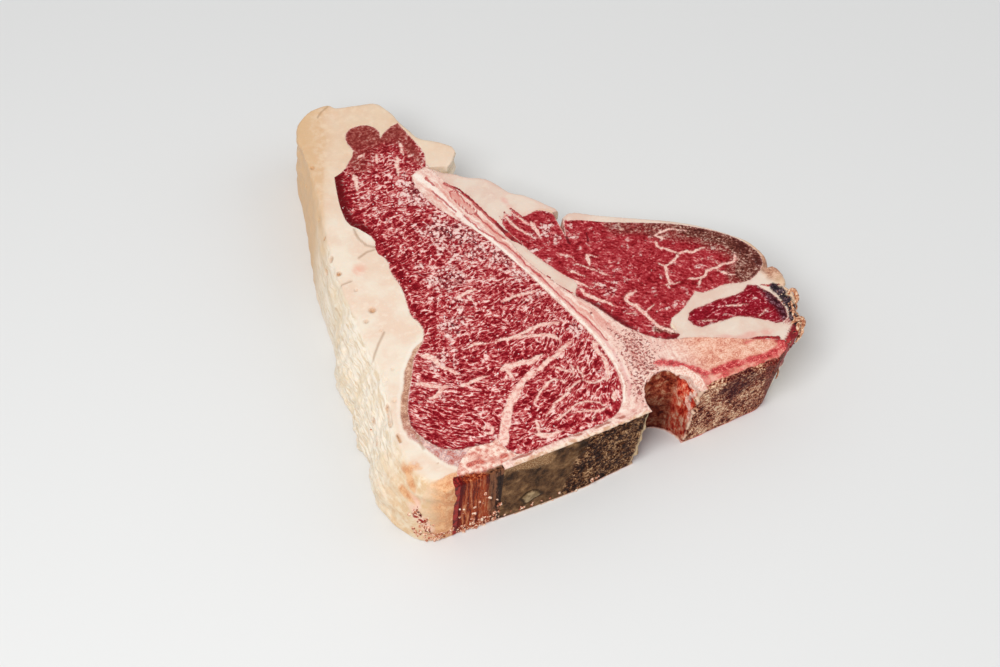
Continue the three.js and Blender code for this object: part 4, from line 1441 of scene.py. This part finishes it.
OLD_BLOOD = (ink(92, 12, 10), ink(164, 36, 30))
FRESH_BLOOD = (ink(122, 18, 26), ink(180, 54, 54))
back_fat.material = firm_fat("back_fat_finish", (ink(238, 223, 203), ink(234, 207, 184)), OLD_BLOOD)
for fat in (tail, flank):
    fat.material = firm_fat(
        fat.node + "_finish", (ink(230, 210, 192), ink(224, 193, 175)), FRESH_BLOOD,
        light=ink(242, 229, 213), pink=ink(226, 158, 144))
print("finishes:", back_fat.material.name, tail.material.name, flank.material.name)

# %% [markdown]
# ## Bone
#
# On its cut face bone is dense and pale at the rim and pink inside. Its sawn side is another matter:
# the saw drew marrow over it, so it is olive where it is dense and dark, porous and dusted with tan
# bone meal where it is spongy. The canal that held the spinal cord keeps a torn, lumpy lining. Each
# of the three is a function of its own, so it can be read and changed alone, and the finish parts
# them by the attributes "side" and "lining".

# %% The bone's cut face, in colour
def bone_face(f, mottle, grains, patches):
    shaft = f.warped(f.attribute("shaft", "Vector"), 0.20, 1.2)
    streaky = f.noise(f.scaled(shaft, (0.62, 0.055, 0.3)), 4, 0.6)
    face = f.ramp(0.4 * streaky + 0.3 * mottle + 0.3 * grains, 0.38, 0.60, [
        ink(204, 140, 128), ink(228, 180, 166), ink(240, 208, 192), ink(247, 226, 212)])
    face = f.mix(0.6 * f.attribute("core") * f.step(streaky, 0.62, 0.44), face, ink(226, 150, 136))
    meal = f.ramp(0.6 * grains + 0.4 * mottle, 0.38, 0.60, [
        ink(196, 104, 84), ink(230, 164, 136), ink(248, 208, 184)])
    face = f.mix(0.9 * f.attribute("peach"), face, meal)
    face = f.mix(0.42 * f.mark("rose", 0.6, mottle, 0.2, 0.8), face, ink(220, 146, 146))
    face = f.mix(0.85 * f.mark("rim", 1.8, mottle, 0.3, 0.9), face, ink(250, 236, 222))
    tan = f.between(mottle, 0.4, 0.6, ink(208, 160, 126), ink(244, 220, 198))
    face = f.mix(0.85 * f.mark("edge_tan", 0.6, mottle, 0.3, 0.7), face, tan)
    face = f.mix(0.8 * f.mark("edge_brown", 1.2, mottle, 0.35, 0.8), face, ink(164, 78, 62))
    # blood: streaks along the stem, small specks, and the stain at the sawn edge
    streak = f.between(grains, 0.4, 0.6, ink(150, 26, 38), ink(208, 92, 86))
    face = f.mix(0.85 * f.mark("streaks", 0.9, grains, 0.35, 0.8), face, streak)
    speckle = f.attribute("speckle")
    face = f.mix(0.35 * speckle * f.step(mottle, 0.45, 0.62), face, ink(226, 150, 140))
    speck = f.step(f.noise(f.at(0.8), 3, 0.74) + 0.19 * speckle, 0.66, 0.715)
    face = f.mix(0.9 * speck, face, f.between(grains, 0.42, 0.6, ink(104, 30, 32), ink(188, 94, 86)))
    stain = f.step(f.attribute("stain") + 1.5 * (grains - 0.5) + 0.9 * (patches - 0.5), 0.35, 0.8)
    return f.mix(0.92 * stain, face, f.ramp(0.6 * grains + 0.4 * mottle, 0.40, 0.62, [
        ink(132, 8, 22), ink(190, 28, 48), ink(216, 84, 84), ink(240, 172, 156)]))


# %% Dense and spongy bone on the sawn side
def dense_side(f, mottle, grains, patches):
    olive = f.ramp(0.6 * patches + 0.4 * mottle, 0.38, 0.64, [
        ink(48, 28, 12), ink(86, 56, 32), ink(118, 84, 54), ink(158, 120, 82)])
    tan = f.ramp(grains, 0.40, 0.60, [ink(128, 84, 50), ink(168, 124, 84), ink(204, 168, 126)])
    olive = f.mix(0.8 * f.mark("tan_wall", 1.2, mottle, 0.2, 0.9), olive, tan)
    return f.mix(0.4 * f.step(grains, 0.55, 0.75), olive, ink(156, 120, 88))


def spongy_side(f, mottle, grains, patches, meal):
    centrum, purple = f.attribute("centrum"), f.attribute("purple")
    dust = 0.75 * meal + 0.25 * grains - 0.05 * purple + 0.30 * (mottle - 0.5) + 0.35 * (patches - 0.5)
    pores = f.ramp(dust, 0.43, 0.61, [ink(24, 4, 0), ink(64, 28, 14), ink(124, 80, 48), ink(196, 156, 116)])
    pores = f.mix(centrum, pores, f.ramp(dust, 0.42, 0.60, [
        ink(56, 6, 6), ink(138, 60, 44), ink(202, 144, 108), ink(250, 220, 186)]))
    pores = f.mix(0.4 * f.step(mottle, 0.52, 0.68) * centrum, pores, ink(120, 34, 24))
    return f.mix(0.4 * f.step(purple + 1.2 * (mottle - 0.5), 0.2, 0.8), pores, ink(64, 16, 24))


def canal_lining(f, mottle, grains):
    lumps = f.ramp(0.7 * mottle + 0.3 * grains, 0.38, 0.62, [
        ink(70, 10, 4), ink(140, 44, 26), ink(182, 92, 62), ink(222, 162, 126)])
    upright = f.noise(f.scaled(f.place, (0.55, 0.55, 0.14)), 4, 0.65)
    painted_lit_lining = f.ramp(0.6 * upright + 0.25 * mottle + 0.15 * grains, 0.41, 0.60, [
        ink(134, 8, 6), ink(206, 56, 36), ink(232, 122, 90), ink(252, 200, 170)])
    # painted light: the lit side of the canal turns vivid; painted shade: its depth darkens
    lumps = f.mix(f.attribute("lining_bright"), lumps, painted_lit_lining)
    return f.mix(0.6 * f.attribute("deep"), lumps, ink(44, 6, 3))


# %% The whole bone
def sawn_bone(name):
    f = Finish(name)
    side, centrum = f.attribute("side"), f.attribute("centrum")
    mottle = f.noise(f.at(0.34), 4, 0.6)
    grains = f.noise(f.at(1.5), 3, 0.65)
    patches = f.noise(f.scaled(f.place, (0.16, 0.16, 0.11)), 4, 0.6)
    meal = f.noise(f.at(0.98), 4, 0.76)
    spongy = f.mark("spongy", 0.9, meal, 0.3, 0.7).most(centrum)
    dense = dense_side(f, mottle, grains, patches)
    wall = f.mix(spongy, dense, spongy_side(f, mottle, grains, patches, meal))
    flake = f.between(mottle, 0.4, 0.6, ink(136, 112, 80), ink(176, 150, 114))
    wall = f.mix(0.95 * f.attribute("chip"), wall, flake)
    wall = f.mix(0.85 * f.attribute("chip_shadow"), wall, ink(34, 22, 12))
    wall = f.mix(0.85 * f.mark("maroon", 1.0, mottle, 0.3, 0.8), wall, f.ramp(
        grains, 0.40, 0.64, [ink(52, 2, 4), ink(104, 12, 14), ink(176, 84, 70)]))
    edge = f.mix(centrum, ink(212, 184, 146), ink(240, 206, 180))
    wall = f.mix(0.9 * f.attribute("edge_line"), wall, edge)
    wall = f.mix(f.attribute("lining"), wall, canal_lining(f, mottle, grains))
    ragged = side + (0.25 + 0.9 * centrum) * (mottle - 0.5) + 0.5 * centrum * (grains - 0.5)
    colour = f.between(ragged, 0.28, 0.72, bone_face(f, mottle, grains, patches), wall)
    white = f.between(grains, 0.38, 0.56, ink(226, 162, 142), ink(248, 224, 208))
    colour = f.mix(0.9 * f.mark("canal_white", 1.3, mottle, 0.3, 0.7), colour, white)
    return f.surface(
        Base_Color=colour, Roughness=0.46 + 0.2 * mottle,
        Normal=f.bump(grains, 0.2, 0.4, f.bump(meal, 0.6, 0.6 * side)),
        Coat_Weight=0.03, Coat_Roughness=0.2, Specular_IOR_Level=0.08,
        Subsurface_Weight=0.06, Subsurface_Radius=(1.0, 0.5, 0.35), Subsurface_Scale=0.001)


bone.material = sawn_bone("t_bone_finish")
print("the bone's finish has", len(bone.material.node_tree.nodes), "nodes")

# %% [markdown]
# ## Ligament
#
# The elastic ligament above the spine is a stack of tough cords. Sawn through, its side shows them
# as upright stripes, orange where they are clean and brown where blood dried on them. Noise that is
# stretched a good deal along one direction gives such stripes, and the same noise drives the bump,
# so each cord stands out where its colour says.

# %% Ligament
def striped_ligament(name):
    f = Finish(name)
    side = f.attribute("side")
    stripes = f.noise(f.scaled(f.warped(f.place, 0.25, 0.5), (0.85, 0.85, 0.045)), 4, 0.66)
    mottle = f.noise(f.at(0.5), 4, 0.65)
    grains = f.noise(f.at(1.7), 3, 0.6)
    face = f.ramp(mottle, 0.36, 0.60, [ink(206, 124, 110), ink(234, 182, 164), ink(248, 224, 206)])
    red = f.between(grains, 0.4, 0.6, ink(160, 40, 38), ink(214, 108, 88))
    face = f.mix(0.85 * f.mark("red_face", 1.3, mottle, 0.35, 0.8), face, red)
    face = f.mix(0.7 * f.attribute("grey_face"), face, ink(196, 176, 184))
    clean = f.between(stripes, 0.38, 0.50, ink(94, 16, 4), ink(160, 62, 26))
    clean = f.between(stripes, 0.52, 0.64, clean, ink(204, 132, 88))
    dried = f.between(stripes, 0.40, 0.60, ink(44, 14, 6), ink(134, 84, 56))
    wall = f.mix(f.mark("darker", 0.8, stripes, 0.3, 0.7), clean, dried)
    wall = f.mix(0.9 * f.mark("black", 0.8, mottle, 0.3, 0.7), wall, ink(26, 12, 8))
    wall = f.mix(0.5 * f.step(grains, 0.62, 0.74), wall, ink(228, 196, 166))
    maroon = f.between(stripes, 0.4, 0.6, ink(84, 6, 4), ink(128, 18, 12))
    wall = f.mix(f.attribute("maroon"), wall, maroon)
    return f.surface(
        Base_Color=f.mix(side, face, wall), Roughness=0.45 + 0.15 * mottle,
        Normal=f.bump(grains, 0.2, 0.4, f.bump(stripes, 0.9, 0.8 * side)),
        Coat_Weight=0.05, Coat_Roughness=0.2, Specular_IOR_Level=0.08)


ligament.material = striped_ligament("ligament_finish")
print("the ligament's finish has", len(ligament.material.node_tree.nodes), "nodes")

# %% [markdown]
# ## Crumbs and dried strands
#
# The saw threw fine meal of bone and fat over the meat, and left coarser crumbs at the foot of the
# sawn side. Nobody would place so many grains by hand, and a bump would leave them flat. One
# Geometry Nodes tree scatters them: points spread over a host mesh, a rough grain on each, turned
# and scaled at random. A second tree turns lines into dried strands of fat. Both end as plain
# meshes, one for each kind.

# %% Geometry Nodes trees, built in a few lines
class Tree:
    """A Geometry Nodes tree with named inputs."""

    def __init__(self, name, inputs):
        self.tree = bpy.data.node_groups.new(name, "GeometryNodeTree")
        self.inputs = {}
        for label, kind in {"Geometry": "Geometry", **inputs}.items():
            socket = self.tree.interface.new_socket(label, in_out="INPUT", socket_type="NodeSocket" + kind)
            self.inputs[label] = socket.identifier
        self.tree.interface.new_socket("Geometry", in_out="OUTPUT", socket_type="NodeSocketGeometry")
        self.start = self.tree.nodes.new("NodeGroupInput")
        self.end = self.tree.nodes.new("NodeGroupOutput")

    def given(self, label):
        return self.start.outputs[label]

    def node(self, kind, sockets=None, settings=None, output=0):
        return add_node(self.tree, kind, settings, sockets).outputs[output]

    def shaken(self, geometry, per_mm, reach):
        """The geometry with its points moved about by noise."""
        where = self.node("GeometryNodeInputPosition")
        noise = {"Vector": where, "Scale": per_mm / MM, "Detail": 2.0}
        noise = self.node("ShaderNodeTexNoise", noise, output=1)
        away = self.node("ShaderNodeVectorMath", {0: noise, 1: (0.5, 0.5, 0.5)}, {"operation": "SUBTRACT"})
        away = self.node("ShaderNodeVectorMath", {0: away, "Scale": reach}, {"operation": "SCALE"})
        return self.node("GeometryNodeSetPosition", {"Geometry": geometry, "Offset": away})

    def finish(self, geometry):
        whole = self.node("GeometryNodeRealizeInstances", {"Geometry": geometry})
        done = self.node("GeometryNodeSetMaterial", {"Geometry": whole, "Material": self.given("Finish")})
        self.tree.links.new(done, self.end.inputs["Geometry"])

    def grow(self, host, name, **values):
        """The tree's result on a host mesh, as a plain mesh on an object of its own."""
        made = object_of(host, name)
        modifier = made.modifiers.new(name, "NODES")
        modifier.node_group = self.tree
        for label, value in values.items():
            modifier[self.inputs[label]] = value
        made.data = with_modifiers(made)
        made.data.calc_loop_triangles()
        print(name, len(made.data.loop_triangles), "triangles")
        return made


# %% The tree that scatters crumbs
crumb_tree = Tree("scatter_crumbs", {
    "Spacing": "Float", "Density": "Float", "Smallest": "Float", "Largest": "Float", "Roughness": "Float",
    "Seed": "Int", "Finish": "Material"})
t = crumb_tree
share = t.node("GeometryNodeInputNamedAttribute", {"Name": "density"})
spots = {"Mesh": t.given("Geometry"), "Distance Min": t.given("Spacing"), "Density Max": t.given("Density"),
         "Density Factor": share, "Seed": t.given("Seed")}
points = t.node("GeometryNodeDistributePointsOnFaces", spots, {"distribute_method": "POISSON"})
grain = t.node("GeometryNodeMeshIcoSphere", {"Radius": 1.0, "Subdivisions": 1})
size = {"Min_001": t.given("Smallest"), "Max_001": t.given("Largest"), "Seed": t.given("Seed")}
size = t.node("FunctionNodeRandomValue", size, {"data_type": "FLOAT"}, 1)
shape = {"Min": (0.6, 0.6, 0.5), "Max": (1.3, 1.3, 1.0), "Seed": 5}
shape = t.node("FunctionNodeRandomValue", shape, {"data_type": "FLOAT_VECTOR"})
shape = t.node("ShaderNodeVectorMath", {0: shape, "Scale": size}, {"operation": "SCALE"})
turn = {"Min": (0, 0, 0), "Max": (6.28, 6.28, 6.28), "Seed": 7}
turn = t.node("FunctionNodeRandomValue", turn, {"data_type": "FLOAT_VECTOR"})
turn = t.node("FunctionNodeEulerToRotation", {"Euler": turn})
crumbs = t.node("GeometryNodeInstanceOnPoints", {
    "Points": points, "Instance": grain, "Rotation": turn, "Scale": shape})
crumbs = t.node("GeometryNodeRealizeInstances", {"Geometry": crumbs})
t.finish(t.shaken(crumbs, 1.6, t.given("Roughness")))
print(t.tree.name, "has", len(t.tree.nodes), "nodes")

# %% The tree that makes strands
strand_tree = Tree("dried_strands", {"Step": "Float", "Bend": "Float", "Finish": "Material"})
t = strand_tree
line = t.node("GeometryNodeMeshToCurve", {"Mesh": t.given("Geometry")})
line = t.node("GeometryNodeResampleCurve", {"Curve": line, "Length": t.given("Step")}, {"mode": "LENGTH"})
line = t.shaken(line, 0.35, t.given("Bend"))
thickness = t.node("GeometryNodeInputNamedAttribute", {"Name": "thickness"})
ring = t.node("GeometryNodeCurvePrimitiveCircle", {"Resolution": 7, "Radius": MM})
tube = t.node("GeometryNodeCurveToMesh", {
    "Curve": line, "Profile Curve": ring, "Scale": thickness, "Fill Caps": True})
t.finish(t.shaken(tube, 1.1, 0.6 * MM))
print(t.tree.name, "has", len(t.tree.nodes), "nodes")


# %% What the crumbs lie on
FEWEST = 0.03  # a face with less than this share of crumbs gets none


def host_of(entries, name):
    """One mesh of the faces where crumbs may lie, with the share of them as its density."""
    corners, faces, shares, start = [], [], [], 0
    for piece, density in entries:
        piece.mesh.calc_loop_triangles()
        rows = array_of(piece.mesh.loop_triangles, "vertices", 3, np.int32)
        rows = rows[density[rows].min(axis=1) > FEWEST]
        used, back = np.unique(rows, return_inverse=True)
        corners.append(piece.points[used] * MM)
        faces.append(back.reshape(-1, 3) + start)
        shares.append(density[used])
        start += len(used)
    mesh = bpy.data.meshes.new(name)
    mesh.from_pydata(np.vstack(corners).tolist(), [], np.vstack(faces).tolist())
    values = np.clip(np.concatenate(shares), 0, 1).astype(np.float32)
    mesh.attributes.new("density", "FLOAT", "POINT").data.foreach_set("value", values)
    return mesh


def crumb_finish(name, tones, shine=0.1):
    f = Finish(name)
    tone = f.noise(f.at(0.9), 2, 0.6)
    bump = f.bump(f.noise(f.at(3.0), 2), 0.1, 0.5)
    return f.surface(
        Base_Color=f.ramp(tone, 0.36, 0.64, tones), Roughness=0.45 + 0.1 * tone, Normal=bump,
        Specular_IOR_Level=shine)


scattered = []  # what is scattered, each with the slot that it belongs to

# %% [markdown]
# Meal settles where the cut face is level, and it sticks best where the marbling is dense. Crumbs lie
# where the saw came out and on the dried tip. So each kind gets a density of its own, and only the
# faces where it may lie are handed to the tree.

# %% Saw meal on the strip loin
level = soft_step(strip.normals[:, 2], 0.5, 0.8)
patchy = np.clip(0.5 + 1.1 * strip.noise(5.0, 201) + 0.5 * strip.noise(1.8, 202), 0, 1)
frost = array_of(strip.mesh.attributes["frost"].data, "value")[:, 0]
meal = np.clip(1.5 * (frost - 0.38), 0.0, 1) * patchy * level
meal += 0.10 * patchy * level * soft_step(strip.places[:, 1], 190, 175)
meal_finish = crumb_finish("saw_meal_finish", [ink(206, 140, 138), ink(238, 204, 198), ink(250, 232, 226)])
scattered.append((crumb_tree.grow(
    host_of([(strip, meal)], "meal_host"), "saw_meal", Spacing=0.9 * MM, Density=0.9e6,
    Smallest=0.16 * MM, Largest=0.55 * MM, Roughness=0.35 * MM, Seed=11, Finish=meal_finish),
    "strip_loin_meat"))

# %% Crumbs at the foot of the sawn side
def crumbs_near(piece, path, width):
    """Where crumbs lie on a piece's front side: near a path of u and z."""
    u_z = np.column_stack([piece.places[:, 0], piece.z])
    near = soft_step(distance_to_path(u_z, path)[0], width, 0.3 * width)
    return near * soft_step(piece.normals[:, 1], -0.3, -0.6)


foot = [
    (ligament, 1.3 * crumbs_near(ligament, [(-96, 3), (-90, 3), (-84, 4), (-76, 4)], 4.5)
        + 0.15 * crumbs_near(ligament, [(-97, 14), (-76, 14)], 12)),
    (back_fat, crumbs_near(back_fat, [(-114.5, 19), (-112, 14), (-110, 9)], 3.5)
        + crumbs_near(back_fat, [(-112, 5), (-105, 3), (-98, 3)], 4)),
    (bone, 0.3 * crumbs_near(bone, [(-76, 4), (-60, 2), (-30, 2)], 3)),
]
foot_finish = crumb_finish("saw_crumbs_finish", [
    ink(120, 52, 30), ink(196, 118, 88), ink(232, 184, 156), ink(244, 224, 200)], 0.25)
scattered.append((crumb_tree.grow(
    host_of(foot, "foot_host"), "saw_crumbs", Spacing=0.9 * MM, Density=0.7e6,
    Smallest=0.2 * MM, Largest=1.1 * MM, Roughness=0.7 * MM, Seed=23, Finish=foot_finish),
    "ligament"))

# %% Dried crumbs at the tip
away = distance_to_path(flank.places, [(70, 34), (69, 27), (68.5, 20), (68, 14), (63, 8)])[0]
dried = 0.55 * soft_step(away, 6, 1.5) * soft_step(flank.z, 24, 34)
dried_finish = crumb_finish("dried_crumbs_finish", [
    ink(34, 16, 18), ink(112, 56, 44), ink(196, 130, 100), ink(236, 206, 178)], 0.2)
scattered.append((crumb_tree.grow(
    host_of([(flank, dried)], "dried_host"), "dried_crumbs", Spacing=0.8 * MM, Density=0.6e6,
    Smallest=0.2 * MM, Largest=0.75 * MM, Roughness=0.5 * MM, Seed=31, Finish=dried_finish),
    "inner_fat"))

# %% Dried strands at the tip
STRANDS = [  # thickness and places (u, v, z)
    (1.0, [
        (72.6, 27.6, 34.4), (74, 31, 35.2), (75.9, 32.2, 35.2), (76.9, 31, 35), (76.5, 28.3, 34.8),
        (74.7, 26.3, 34.6), (72.8, 26.1, 34.8), (73.1, 28.5, 35.4)]),
    (0.9, [
        (72.8, 27.8, 34.9), (71.9, 25.4, 35.2), (71, 23, 35.2), (69.6, 20.1, 35), (68.9, 17.5, 35.2),
        (67, 15.9, 35.6)]),
    (1.2, [
        (66.4, 15.6, 35.2), (69, 16.3, 35.6), (71, 16.8, 35), (72.3, 16.1, 34), (71, 13.9, 33.2),
        (68.8, 12.2, 33.6)]),
    (0.8, [(70.4, 12.6, 33.6), (69.6, 11.6, 33), (67.6, 10.4, 32), (65.6, 9.6, 30.4)]),
    (0.9, [(65.4, 10.3, 34.8), (67.5, 12.8, 35.4), (70, 14.8, 34.6), (71.8, 14.6, 32.8)]),
    (0.5, [(72.2, 24.6, 33.6), (73.6, 22, 32), (73.2, 19.4, 30.4), (71.4, 17.4, 30.6), (70.4, 15.6, 32)]),
    (0.45, [(74.8, 29.6, 33), (76.2, 27.4, 31.4), (75.6, 25, 30.6), (73.8, 23.8, 31.6)]),
    (0.5, [(58.8, 8.4, 21.6), (58, 6.2, 20.6), (57.5, 5, 20), (55.4, 3.4, 19.2)]),
]
ends, lines, widths = [], [], []
for thickness, path in STRANDS:
    curve = standing(smooth_path(path))
    lines += [(len(ends) + n, len(ends) + n + 1) for n in range(len(curve) - 1)]
    ends += (curve * MM).tolist()
    fade = np.sin(np.linspace(0.15, 0.9, len(curve)) * np.pi)
    widths += (thickness * (0.35 + 0.65 * fade)).tolist()
strand_host = bpy.data.meshes.new("strand_host")
strand_host.from_pydata(ends, lines, [])
strand_host.attributes.new("thickness", "FLOAT", "POINT").data.foreach_set("value", widths)
strand_finish = crumb_finish("dried_strands_finish", [
    ink(126, 62, 40), ink(190, 122, 86), ink(222, 168, 130), ink(240, 212, 182)], 0.25)
scattered.append((strand_tree.grow(
    strand_host, "dried_strands", Step=0.45 * MM, Bend=1.6 * MM, Finish=strand_finish), "inner_fat"))

# %% [markdown]
# ## The room and the hand-over
#
# Raw meat is moist, so it is seen by its highlights as much as by its colour. One large soft light
# on the left draws them, and a weaker one opens the shadows on the right; a bare lamp would burn
# small white dots instead. The floor is plain, and it is stage, not part of the steak.
#
# At the end each piece gets its finish and is parented to the root, and the CAD solid that it replaces is
# hidden.

# %% Floor, world and lights
FLOOR = 4.0
floor_mesh = bpy.data.meshes.new("floor")
floor_mesh.from_pydata(
    [(-FLOOR, -FLOOR, 0), (FLOOR, -FLOOR, 0), (FLOOR, FLOOR, 0), (-FLOOR, FLOOR, 0)], [], [(0, 1, 2, 3)])
floor = object_of(floor_mesh, "floor")
f = Finish("floor_paper")
floor_mesh.materials.append(f.surface(Base_Color=ink(226, 226, 224), Roughness=0.8))

world = bpy.data.worlds.new("room")
world.use_nodes = True
background = world.node_tree.nodes["Background"]
background.inputs["Color"].default_value = ink(246, 247, 250)
background.inputs["Strength"].default_value = 0.55
scene.world = world


def soft_light(name, azimuth, elevation, distance, size, power):
    """A square area light aimed at the steak; azimuth and elevation are where it stands, in degrees."""
    data = bpy.data.lights.new(name, "AREA")
    data.shape = "SQUARE"
    data.size = size
    data.energy = power
    a, e = math.radians(azimuth), math.radians(elevation)
    away = Vector((math.sin(a) * math.cos(e), -math.cos(a) * math.cos(e), math.sin(e)))
    light = bpy.data.objects.new(name, data)
    light.location = away * distance
    light.rotation_euler = (-away).to_track_quat("-Z", "Y").to_euler()
    scene.collection.objects.link(light)


# the key light stands on the left of the viewer, the fill light on the right
soft_light("key", azimuth=-50, elevation=55, distance=1.3, size=0.6, power=10)
soft_light("fill", azimuth=70, elevation=40, distance=1.5, size=1.2, power=3)
scene.view_settings.view_transform = "Standard"
print(len(bpy.data.lights), "lights")

# %% Hand each piece over to the frame
SHARP = 55  # degrees; an edge that is bent more than this is shaded as an edge
for node, piece in pieces.items():
    mesh = piece.mesh
    mesh.materials.clear()
    mesh.materials.append(piece.material)
    mesh.polygons.foreach_set("use_smooth", np.ones(len(mesh.polygons), bool))
    mesh.set_sharp_from_angle(angle=math.radians(SHARP))
    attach(piece.object, "root")
    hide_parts(node)
    mesh.calc_loop_triangles()
    print(piece.object.name, len(mesh.loop_triangles), "triangles")

for made, slot in scattered:
    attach(made, "root")
